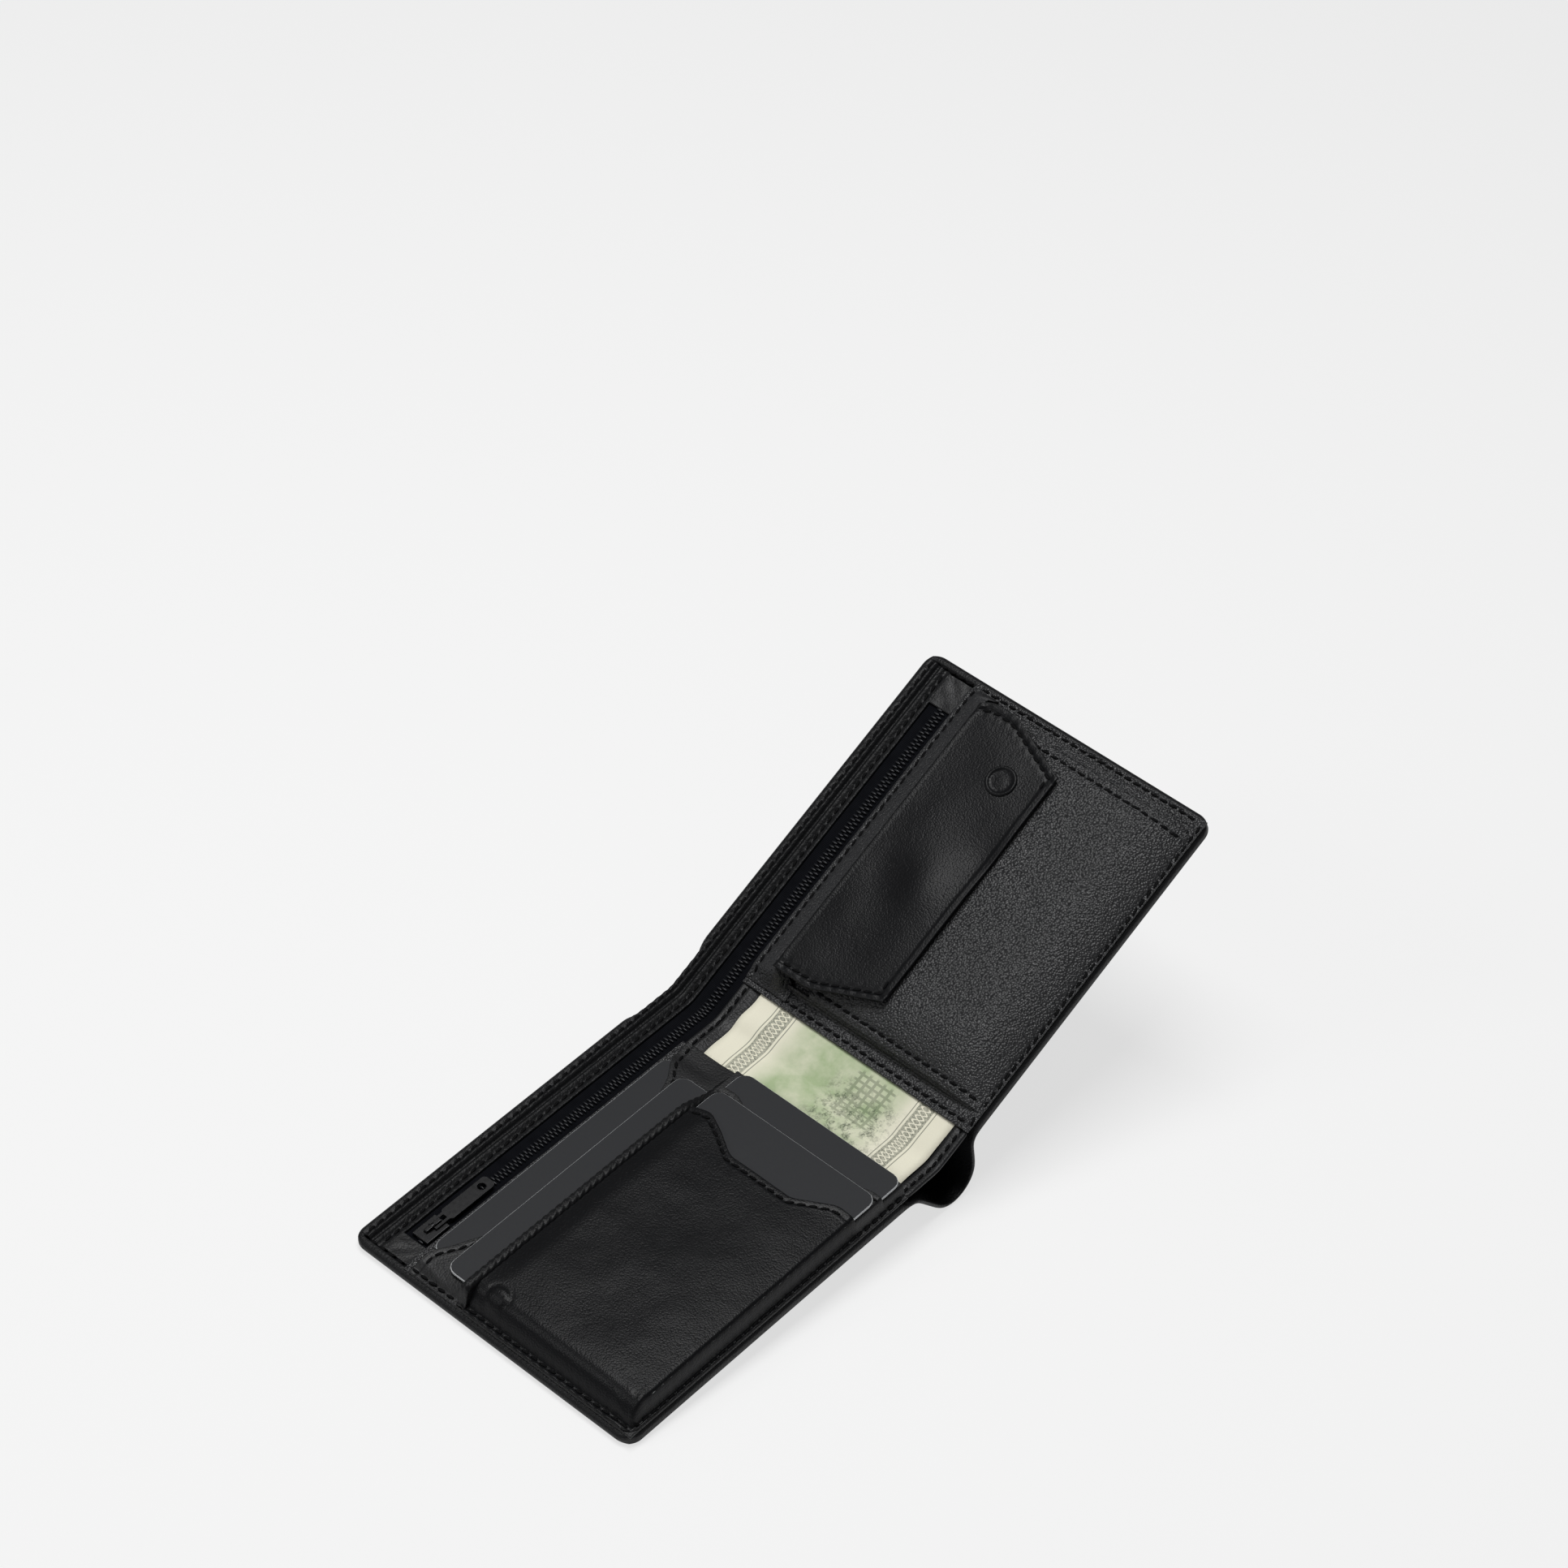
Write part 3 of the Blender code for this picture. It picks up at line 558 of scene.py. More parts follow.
def note_bands(tree, place, q, v):
    """The two ornament bands near the note's long edges, each a braid between double rules."""
    found = None
    for middle in (0.0145, -0.0335):
        inside = between(tree, v, middle - 0.0023, middle + 0.0023, 0.0001)
        wave = maths(tree, "MULTIPLY", maths(tree, "SINE", maths(tree, "MULTIPLY", q, 2300.0)), 0.0013)
        away = maths(tree, "SUBTRACT", v, middle)
        strands = maths(tree, "MINIMUM", maths(tree, "ABSOLUTE", maths(tree, "SUBTRACT", away, wave)),
                        maths(tree, "ABSOLUTE", maths(tree, "ADD", away, wave)))
        braid = maths(tree, "GREATER_THAN", strands, 0.00032)
        speck = node(tree, "ShaderNodeTexVoronoi", {"Vector": place, "Scale": 2600.0})
        mottled = maths(tree, "MULTIPLY", braid, ranged(tree, speck.outputs["Distance"], 0.1, 0.6, 0.9, 0.45))
        band = maths(tree, "MULTIPLY", inside, mottled)
        for rule in (middle - 0.0031, middle + 0.0031):
            line = between(tree, v, rule - 0.00012, rule + 0.00012, 0.00008)
            band = maths(tree, "MAXIMUM", band, maths(tree, "MULTIPLY", line, 0.75))
        found = band if found is None else maths(tree, "MAXIMUM", found, band)
    return found


def floor_paper(name, colour, glow):
    """The plain pale floor, a little luminous so that its shadows stay pale."""
    tree, shader = principled(name, 0.95, 0.1)
    fine = node(tree, "ShaderNodeTexNoise", {"Vector": own_place(tree), "Scale": 40.0})
    dye(tree, shader, fine.outputs["Fac"], colour, 0.998, 1.0)
    shader.inputs["Emission Color"].default_value = (1.0, 1.0, 1.0, 1.0)
    shader.inputs["Emission Strength"].default_value = glow


def make_materials(colours):
    """All finishes of the wallet."""
    leather_skin_group()
    weave_group()
    leather("pebbled_leather", colours.field, 1650.0, 0.30, 160.0, 0.9, 0.43, 0.55)
    leather("smooth_leather", colours.leather, 2000.0, 0.05, 130.0, 1.6, 0.35, 0.15)
    leather("cover_leather", colours.leather, 1500.0, 0.08, 190.0, 1.2, 0.46, 0.22)
    leather("inner_leather", colours.leather, 1800.0, 0.06, 190.0, 0.6, 0.47, 0.35)
    cloth("lining_weave", colours.lining, 9000.0)
    cloth("zip_tape_weave", colours.tape, 7000.0)
    thread("black_thread", colours.thread)
    speckled("zip_coil_plastic", colours.zip_teeth, 0.42, 0.45, 1200.0, 0.01)
    speckled("blackened_metal", colours.metal, 0.36, 0.5, 900.0, 0.012, 0.85)
    speckled("card_face_plastic", colours.card, 0.55, 0.27, 1500.0, 0.008, spread=0.04)
    # Light grey edge finish: a painted highlight along the cards' edges.
    speckled("card_edge_highlight_plastic", colours.card_edge_highlight, 0.5, 0.5, 1500.0, 0.004)
    note_paper("printed_paper", colours.note_paper, colours.note_green, colours.note_ink)
    floor_paper("floor_paper", colours.floor, 0.69)


def over_fold(piece, slot_name, *nodes):
    """A piece shaped across the main fold: its transform baked in and the CAD nodes it stands for hidden."""
    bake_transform(piece)
    stand_for(piece, slot_name, *nodes)


def on_body(piece, body, slot_name, *nodes):
    """A piece that rides on one body."""
    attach(piece, body)
    stand_for(piece, slot_name, *nodes)


def stand_for(piece, slot_name, *nodes):
    """Hide the CAD nodes that a piece stands for; the slot name is not used."""
    if nodes:
        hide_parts(*nodes)


# Cover


def tangent_angle(point, turn):
    """Angle on the roll's circle where the tangent from a point touches it."""
    away = (point[0] - ROLL_CENTRE[0], point[1] - ROLL_CENTRE[1])
    return math.atan2(away[1], away[0]) + turn * math.acos(ROLL_RADIUS / math.hypot(*away))


def cover_line():
    """The cover's middle line in the card side's x and w, and the length along it, at close stations."""
    u, w = ROLL_COIN_END
    turn = (math.cos(OPEN_ANGLE), math.sin(OPEN_ANGLE))
    coin_end = (u * turn[0] - w * turn[1], u * turn[1] + w * turn[0])
    outer = (HALF_WIDTH * turn[0] - w * turn[1], HALF_WIDTH * turn[1] + w * turn[0])
    first, last = tangent_angle(ROLL_CARD_END, 1), tangent_angle(coin_end, -1)
    sweep = (last - first) % (2 * math.pi)
    arc = [(ROLL_CENTRE[0] + ROLL_RADIUS * math.cos(first + sweep * k / 40),
            ROLL_CENTRE[1] + ROLL_RADIUS * math.sin(first + sweep * k / 40)) for k in range(41)]
    raw = [Vector(p) for p in [(-HALF_WIDTH, 0.5), ROLL_CARD_END, *arc, coin_end, outer]]
    lengths = [0.0]
    for start, end in zip(raw, raw[1:]):
        lengths.append(lengths[-1] + (end - start).length)
    total = lengths[-1]
    plate = HALF_WIDTH + ROLL_CARD_END[0] - 8.0
    stations = ticks(0.0, plate, 2.6, end=False)
    other = [total - s for s in stations][::-1]
    count = round((other[0] - stations[-1]) / 0.9)
    stations += [stations[-1] + (other[0] - stations[-1]) * k / count for k in range(1, count)] + other
    line = []
    for s in stations:
        k = max(i for i in range(len(raw) - 1) if lengths[i] <= s + 1e-9)
        line.append(raw[k].lerp(raw[k + 1], (s - lengths[k]) / (lengths[k + 1] - lengths[k])))
    for _ in range(14):
        line = [p if s < plate or s > total - plate else (before + p * 2 + after) / 4
                for s, before, p, after in zip(stations, [line[0]] + line[:-1], line, line[1:] + [line[-1]])]
    return stations, line, total


def make_cover():
    """The cover and the spine roll: one sheet with turned edges that bends with the fold."""
    stations, line, total = cover_line()
    spots = dict(zip(stations, line))
    before = dict(zip(stations, [line[0]] + line[:-1]))
    after = dict(zip(stations, line[1:] + [line[-1]]))

    def place(s, v, over):
        from_end = min(s, total - s)
        from_side = HALF_HEIGHT - abs(v)
        plate = smooth((HALF_WIDTH - 12.0 - from_end) / 5.0) if from_side else 0.0
        inset = min(from_end, from_side)
        a = (COVER_CORNER - from_end) / COVER_CORNER
        b = (COVER_CORNER - from_side) / COVER_CORNER
        shift = 0.0
        y = v
        if a > 0 and b > 0:
            pulled_a = a * math.sqrt(1 - b * b / 2)
            pulled_b = b * math.sqrt(1 - a * a / 2)
            shift = (a - pulled_a) * COVER_CORNER
            y = math.copysign(HALF_HEIGHT - COVER_CORNER * (1 - pulled_b), v)
        radius = 0.46 + 0.94 * plate
        drop = round_over(inset, radius)
        rim = 2.0 * plate * (1 - smooth((inset - 2.1) / 1.0))
        wave = uneven(s, v, 22.0, 0.16, 3.0) * smooth(inset / 6.0)
        if over:
            lift = 0.5 + rim - drop + wave
        else:
            lift = -0.5 + drop + wave * 0.6 + plate * groove(inset - 2.6, 0.22)
        tangent = (after[s] - before[s]).normalized()
        normal = Vector((-tangent.y, tangent.x))
        spot = spots[s] + tangent * (shift if s < total / 2 else -shift) + normal * lift
        return on_half(CARD, -spot.x, y, spot.y)

    heights = ticks(-HALF_HEIGHT, HALF_HEIGHT, 2.6)
    piece = slab("cover_and_spine", stations, heights, place, "cover_leather")
    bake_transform(piece)
    stand_for(piece, "black_leather", "cover_card_side", "cover_coin_side", "spine_roll")
    side = HALF_HEIGHT - 2.6
    far = HALF_WIDTH - 2.6
    row = [(16.0, -side), (far - 2, -side), (far, 2 - side), (far, side - 2), (far - 2, side), (16.0, side)]
    for half, label in HALF_BODY.items():
        sew_half("cover_stitches_" + label, half, [row], lambda u, v: 0.15, under=True)


class WALLET_OT_cover(bpy.types.Operator):
    """Make the cover, its spine roll and its edge stitching"""

    bl_idname = "wallet.cover"
    bl_label = "Cover and spine"

    def execute(self, context):
        make_cover()
        return {"FINISHED"}


# Zipped pocket


def make_divider():
    """Lining and leather divider behind the banknote."""

    def lining_place(q, v, over):
        return across(q, v, 1.35 if over else 1.15)

    lining = slab("lining_sheet", ticks(-112.0, 112.0, 4.0, False, False),
                  ticks(-44.2, 40.4, 4.0, False, False), lining_place, "lining_weave")
    over_fold(lining, "lining_cloth", "lining_card_side", "lining_coin_side")

    def low_edge(q):
        return -46.6 + 2.3 * smooth((abs(q) - 12.0) / 3.0)

    def surface(q, v):
        edge = min(PANEL_TOP_V - v, v - low_edge(q))
        near = 1 - smooth((abs(q) - 11.0) / 4.0)
        return 2.6 + hem(edge, 0.15 + 0.45 * near, 3.4) - groove(edge - 1.9, 0.25) \
            + uneven(q, v, 9.0, 0.10, 5.0) * smooth(edge / 5.0)

    def place(q, b, over):
        low = low_edge(q)
        v = low + (PANEL_TOP_V - low) * b
        edge = min(PANEL_TOP_V - v, v - low)
        near = 1 - smooth((abs(q) - 11.0) / 4.0)
        thick = 0.6 + hem(edge, 0.7 * near, 3.0)
        drop = round_over(edge, thick * 0.48)
        w = surface(q, v)
        return across(q, v, w - drop if over else w - thick + drop)

    divider = slab("note_divider", ticks(-112.0, 112.0, 2.4), shares(NOTE_DIVIDER_SPAN, 2.6), place, "inner_leather")
    over_fold(divider, "black_leather", "divider_card_side", "divider_coin_side")
    rows = [[(-15.0, 28.3), (15.0, 28.3)], [(-19.0, -44.7), (19.0, -44.7)]]
    sew_across("note_divider_stitches", rows, surface)


def make_zip():
    """Zip tape, coil, leather facing and end tabs."""
    def tape_place(q, v, over):
        return across(q, v, 1.75 if over else 1.5)

    tape = slab("zip_tape", ticks(-111.5, 111.5, 2.5, False, False), ticks(27.6, 40.5, 1.6, False, False),
                tape_place, "zip_tape_weave")
    over_fold(tape, "zip_tape_cloth", "zip_tape_card_side", "zip_tape_coin_side")
    make_coil()
    high_seam, low_seam = FACING_SEAMS_V

    def facing_top(q, v):
        rise = 0.95 * smooth((v - 42.8) / 1.5)
        rolls = 0.5 * math.exp(-((v - 43.8) / 0.6) ** 2) + 0.55 * math.exp(-((v - 41.9) / 0.7) ** 2)
        rolls -= 0.4 * math.exp(-((v - 42.9) / 0.35) ** 2)
        seams = groove(v - high_seam) + groove(v - low_seam, 0.28)
        seams = seams - pucker(v - high_seam, q) - pucker(v - low_seam, q, depth=0.08)
        return 2.5 + rise + rolls - seams + uneven(q, v, 6.0, 0.12, 8.0)

    def facing_place(q, v, over):
        edge = min(v - FACING_LOW_V, FACING_HIGH_V - v, FACING_U - abs(q))
        near = 1 - smooth((abs(q) - 12.0) / 4.0)
        thick = 0.6 + near * smooth((v - 43.0) / 1.5) * 1.4
        drop = round_over(edge, thick * 0.48)
        w = facing_top(q, v)
        return across(q, v, w - drop if over else w - thick + drop)

    facing = slab("zip_facing", ticks(-FACING_U, FACING_U, 0.75), ticks(FACING_LOW_V, FACING_HIGH_V, 0.35),
                  facing_place, "cover_leather")
    over_fold(facing, "black_leather", "zip_facing_card_side", "zip_facing_coin_side")
    rows = [[(-112.0, high_seam), (112.0, high_seam)], [(-111.0, low_seam), (111.0, low_seam)]]
    sew_across("zip_facing_stitches", rows, facing_top)
    for half, low in ((CARD, 105.4), (COIN, 102.8)):
        name = "zip_end_tab_" + HALF_BODY[half]
        panel(name, half, name, ticks(low, WALL_U, 0.8), ticks(TAB_LOW_V, TAB_HIGH_V, 0.8), as_given,
              lambda u, v: 2.5 + uneven(u, v, 2.6, 0.22, 2.0), 0.55, rim(low, WALL_U, TAB_LOW_V, TAB_HIGH_V),
              "inner_leather")


def make_coil():
    """The zip's coil: two rows of small rounded loops that meet in the middle."""
    mesh = bmesh.new()
    along = Vector((0.0, 1.0, 0.0))
    for k in range(round(COIL_LENGTH / COIL_PITCH) * 2):
        q = COIL_START + k * COIL_PITCH / 2
        side = 1 if k % 2 else -1
        here = across(q, ZIP_V + side * 0.62, COIL_W)
        ahead = (across(q + 0.2, ZIP_V, COIL_W) - across(q - 0.2, ZIP_V, COIL_W)).normalized()
        axes = (ahead * 0.30 * MM, ahead.cross(along) * 0.36 * MM, along * 0.98 * MM)
        bmesh.ops.create_uvsphere(mesh, u_segments=6, v_segments=4, radius=1.0, matrix=stretched(axes, here))
    coil = finished("zip_coil", mesh, "zip_coil_plastic")
    over_fold(coil, "zip_teeth_plastic", "zip_teeth_card_side", "zip_teeth_coin_side")


def make_slider():
    """The zip's slider with its rounded arch, and the puller with its narrow neck."""
    slider = refined("zip_slider_shaped", "zip_slider", "blackened_metal", 0.28, 3)
    on_body(slider, "zip_slider_body", "black_metal", "zip_slider")
    mesh = bmesh.new()
    corners = [mesh.verts.new((r * MM, v * MM, 0.0)) for r, v in ((2.3, -0.62), (3.0, -0.5), (3.0, 0.5), (2.3, 0.62))]
    section = mesh.faces.new(corners)
    bmesh.ops.spin(mesh, geom=[section], cent=(0, 0, 0), axis=(0, 1, 0), angle=-math.pi, steps=16)
    bmesh.ops.scale(mesh, vec=(0.95, 1.0, 0.56), verts=mesh.verts)
    lift = Matrix.Translation(on_half(CARD, 99.85, ZIP_V, 2.5)) @ Matrix.Rotation(-TILT, 4, "Y")
    bmesh.ops.transform(mesh, matrix=lift, verts=mesh.verts)
    arch = finished("zip_slider_arch", mesh, "blackened_metal")
    on_body(arch, "zip_slider_body", "black_metal")
    puller = refined("zip_puller_shaped", "zip_puller", "blackened_metal", 0.14, 2)
    mesh = bmesh.new()
    mesh.from_mesh(puller.data)
    along = (on_half(CARD, 1, 0, 0) - on_half(CARD, 0, 0, 0)).normalized()
    for u in (94.6, 95.3):
        bmesh.ops.bisect_plane(mesh, geom=mesh.verts[:] + mesh.edges[:] + mesh.faces[:],
                               plane_co=on_half(CARD, u, ZIP_V, 3.4), plane_no=along)
    foot = on_half(CARD, 0, 0, 0)
    for corner in mesh.verts:
        u = (corner.co - foot).dot(along) / MM
        corner.co.y = (ZIP_V + (corner.co.y / MM - ZIP_V) * (1 - 0.3 * smooth((u - 94.5) / 0.9))) * MM
    mesh.to_mesh(puller.data)
    mesh.free()
    on_body(puller, "zip_puller_body", "black_metal", "zip_puller")


class WALLET_OT_zipped_pocket(bpy.types.Operator):
    """Make the lining, divider, zip, facing, slider and puller"""

    bl_idname = "wallet.zipped_pocket"
    bl_label = "Zipped pocket"

    def execute(self, context):
        make_divider()
        make_zip()
        make_slider()
        return {"FINISHED"}


# Banknote


def make_note():
    """The banknote, one printed sheet that lies across the fold."""
    def place(q, v, over):
        open_part = 1 - smooth((abs(q + 1.5) - 5.0) / 7.0)
        lift = open_part * (1.3 * smooth((v - 10.0) / 13.0) * (0.6 + 0.4 * math.sin(q / 3.4)) + 0.35)
        return across(q, v, (2.95 if over else 2.85) + lift)

    note = slab("banknote_sheet", ticks(-78.0, 78.0, 1.4, False, False), ticks(-42.4, 23.9, 2.2, False, False),
                place, "printed_paper")
    over_fold(note, "note_paper", "banknote_card_side", "banknote_coin_side")


class WALLET_OT_banknote(bpy.types.Operator):
    """Make the banknote with its generic printed pattern"""

    bl_idname = "wallet.banknote"
    bl_label = "Banknote"

    def execute(self, context):
        make_note()
        return {"FINISHED"}


# Card side


def card_top(full, seam, u, v, width_u=6.0, width_v=1.6):
    """Height of a layer on the card side, squeezed at the outer and the lower seam."""
    return seam + (full - seam) * puff(WALL_U - u, width_u) * puff(v - WALL_V, width_v)


def front_crown(u, v):
    """Soft crown of the front pocket over its cards."""
    return puff(WALL_U - u, 22.0, 2.2) * puff(v - WALL_V, 17.0, 2.2) * smooth((12.0 - v) / 9.0)


def pleats(u, v, corner_u, corner_v, depth=0.22):
    """Small gathers that fan out round a corner."""
    away_u, away_v = corner_u - u, v - corner_v
    reach = math.hypot(away_u, away_v)
    return depth * math.cos(15 * math.atan2(away_v, away_u)) * math.exp(-((reach - 5.5) / 2.6) ** 2)


def make_card_layers():
    """Base, slot layer and the two inner layers of the side pockets."""
    def base_top(u, v):
        edge = min(PANEL_TOP_V - v, u - PANEL_FOLD_U)
        return card_top(4.15, 3.45, u, v) + hem(edge, 0.15, 3.0) - groove(edge - 1.7, 0.2)

    long = ticks(PANEL_FOLD_U, EDGE_U, 2.0)
    panel("card_base", CARD, "card_panel_base", long, ticks(EDGE_V, PANEL_TOP_V, 2.5), as_given, base_top, 0.8,
          rim(PANEL_FOLD_U, EDGE_U, EDGE_V, PANEL_TOP_V), "pebbled_leather")

    def slot_top(u, v):
        empty = smooth((u - 104.5) / 5.0) + smooth((21.5 - u) / 4.0)
        sag = 0.55 * empty * smooth((v - 10.0) / 8.0)
        lip = follow(SLOT_MOUTH, u) - v
        gathers = 0.096 * math.cos(u * 1.9 + v * 0.4) * smooth((u - 100.0) / 5.0)
        w = card_top(5.61 - sag, 3.6, u, v) + hem(lip, 0.12, 2.6) - groove(lip - 1.9, 0.2) + gathers
        return min(w, 5.68)

    def slot_spot(u, b):
        mouth = follow(SLOT_MOUTH, u)
        return u, EDGE_V + (mouth - EDGE_V) * b

    panel("slot_layer", CARD, "card_slot_layer", long, shares(SLOT_SPAN, 2.2), slot_spot, slot_top, 0.42,
          share_rim(SLOT_SPAN, PANEL_FOLD_U, EDGE_U, False), "inner_leather")
    rows = [[(u, follow(SLOT_MOUTH, u) - 1.9) for u in places]
            for places in ((14.0, 17.0, 20.5, 23.0, 26.0, 29.0, 31.5, 35.0, 38.0),
                           (89.0, 92.0, 95.5, 99.0, 103.0, 107.0, 111.5))]
    sew_half("slot_layer_stitches", CARD, rows, slot_top)

    panel("side_pocket_back_layer", CARD, "side_pocket_back", long, ticks(EDGE_V, 11.0, 2.5), as_given,
          lambda u, v: card_top(7.07, 3.72, u, v), 0.4, rim(PANEL_FOLD_U, EDGE_U, EDGE_V, math.inf), "inner_leather")

    def divider_top(u, v):
        lip = u - follow(DIVIDER_MOUTH, v)
        return card_top(8.53, 3.84, u, v) + hem(lip, 0.10, 2.4) - groove(lip - 1.8, 0.18)

    def divider_spot(a, v):
        mouth = follow(DIVIDER_MOUTH, v)
        return mouth + (EDGE_U - mouth) * a, v

    panel("side_pocket_divider_layer", CARD, "side_pocket_divider", shares(DIVIDER_SPAN, 2.4), ticks(EDGE_V, 9.3, 1.6),
          divider_spot, divider_top, 0.4, share_rim(DIVIDER_SPAN, EDGE_V, math.inf), "inner_leather")
    row = [(follow(DIVIDER_MOUTH, v) + 1.8, v) for v in (8.0, 4.5, 1.0, -2.0, -5.0, -7.0, -31.0, -34.0, -36.5,
                                                       -39.0, -41.0, -44.5)]
    sew_half("side_pocket_divider_stitches", CARD, [row], divider_top)
    sew_half("lower_seam_stitches", CARD, [[(14.0, SEAM_V), (31.0, SEAM_V)]], lambda u, v: 4.0)


def make_front_pocket():
    """The padded front pocket with its notch, its round boss and the band along its top."""
    boss_u, boss_v = 108.4, 2.9

    def front_top(u, v):
        lip = u - follow(FRONT_MOUTH, v)
        crown = front_crown(u, v)
        full = 9.8 + 1.0 * crown + uneven(u, v, 17.0, 0.30, 1.0) * crown + uneven(u, v, 5.0, 0.05, 4.0)
        w = card_top(full, 4.5, u, v, 6.6, 1.9)
        away = math.hypot(u - boss_u, v - boss_v)
        w += 0.45 * (1 - smooth((away - 2.2) / 0.9)) - 0.25 * math.exp(-((away - 3.3) / 0.5) ** 2)
        w -= 0.3 * math.exp(-((away - 1.3) / 0.35) ** 2)
        w += pleats(u, v, 113.0, -46.5) + hem(lip, 0.14, 2.4) - groove(lip - 1.9, 0.22)
        w += pucker(SEAM_U - u, v) * (v > -43.0) + pucker(v - SEAM_V, u) * (u < 110.0)
        return w - groove(SEAM_U - u, 0.28) - groove(v - SEAM_V, 0.28)

    def spot(a, v):
        mouth = follow(FRONT_MOUTH, v)
        u = mouth + (EDGE_U - mouth) * a
        a = (POCKET_CORNER - (EDGE_U - u)) / POCKET_CORNER
        b = (POCKET_CORNER - (v - EDGE_V)) / POCKET_CORNER
        if a > 0 and b > 0:
            u = EDGE_U - POCKET_CORNER * (1 - a * math.sqrt(1 - b * b / 2))
            v = EDGE_V + POCKET_CORNER * (1 - b * math.sqrt(1 - a * a / 2))
        return u, v

    panel("front_pocket", CARD, "front_pocket_panel", shares(FRONT_SPAN, 0.75), ticks(EDGE_V, 9.6, 0.75), spot,
          front_top, 0.55, share_rim(FRONT_SPAN, EDGE_V, 9.8), "smooth_leather")
    seam_row = [(31.5, SEAM_V), (110.5, SEAM_V), (SEAM_U, -43.8), (SEAM_U, 9.0)]
    mouth_row = [(follow(FRONT_MOUTH, v) + 1.9, v) for v in (8.5, 4.0, 1.0, -2.0, -5.5, -9.0, -29.5, -33.0,
                                                           -36.5, -39.8, -43.5)]
    sew_half("front_pocket_stitches", CARD, [seam_row, mouth_row], front_top)

    def band_top(u, v):
        full = 10.85 - 3.9 * smooth((35.0 - u) / 14.0) - 0.9 * smooth((20.0 - u) / 6.0)
        w = 5.1 + (full - 5.1) * puff(WALL_U + 0.9 - u, 2.6, 4.0)
        twist = 0.2 * math.cos(2 * math.pi * (u + 1.5 * v) / 2.4)
        half = (BAND_HIGH_V - BAND_LOW_V) / 2
        return w + twist - 0.5 * ((v - BAND_LOW_V - half) / half) ** 2

    edge = rim(PANEL_FOLD_U, BAND_HIGH_U, BAND_LOW_V, BAND_HIGH_V)

    def band_place(u, v, over):
        drop = round_over(edge(u, v), 0.72)
        high = band_top(u, v)
        low = high - 1.5 - max(0.0, high - 6.2) * smooth((u - 109.0) / 0.6)
        return on_half(CARD, u, v, high - drop if over else low + drop)

    band = slab("pocket_band", ticks(PANEL_FOLD_U, BAND_HIGH_U, 0.5), ticks(BAND_LOW_V, BAND_HIGH_V, 0.35),
                band_place, "cover_leather")
    on_body(band, "card_side", "black_leather", "pocket_binding")
    sew_half("card_side_end_stitches", CARD, [[(SEAM_U, 13.5), (SEAM_U, 43.5)]],
             lambda u, v: 3.75 if v < 29 else 2.7)


def make_cards():
    """Four blank cards with much lighter edges, a painted highlight along their lit edges."""
    for name in ("top_card_back", "top_card_front", "side_card_back", "side_card_front"):
        card = refined(name + "_shaped", name, "card_face_plastic", 0.2, 1)
        card.data.materials.append(bpy.data.materials["card_edge_highlight_plastic"])
        up = on_half(CARD, 0, 0, 1) - on_half(CARD, 0, 0, 0)
        up.normalize()
        for face in card.data.polygons:
            # Side faces take the light edge finish, a painted highlight.
            if abs(face.normal.dot(up)) < 0.9:
                face.material_index = 1
        on_body(card, name + "_body", "card_plastic", name)


class WALLET_OT_card_side(bpy.types.Operator):
    """Make the card panels, the front pocket and its band"""

    bl_idname = "wallet.card_side"
    bl_label = "Card side"

    def execute(self, context):
        make_card_layers()
        make_front_pocket()
        return {"FINISHED"}


class WALLET_OT_cards(bpy.types.Operator):
    """Make the four blank cards"""

    bl_idname = "wallet.cards"
    bl_label = "Cards"

    def execute(self, context):
        make_cards()
        return {"FINISHED"}


# Coin side


def pouch_top(u, v):
    """Height of the pouch's front over the coin panel."""
    sides = min(u - POUCH_LOW_U, POUCH_HIGH_U - u)
    middle = smooth(sides / 22.0) * smooth((v - WALL_V) / 26.0)
    sag = 1 - 0.66 * (1 - puff(u - POUCH_LOW_U, 15.0, 2.0)) - 0.25 * (1 - puff(POUCH_HIGH_U - u, 10.0, 2.0))
    w = 4.0 + 5.65 * puff(v - WALL_V, 17.0, 2.2) * sag
    w += -0.25 * middle + uneven(u, v, 15.0, 0.22, 11.0) * middle + uneven(u, v, 4.5, 0.05, 6.0)
    w += pucker(sides - 2.3, v) + pucker(v - SEAM_V, u)
    return w + hem(sides, 0.16, 1.6) - groove(sides - 2.3, 0.26) - groove(v - SEAM_V, 0.28)


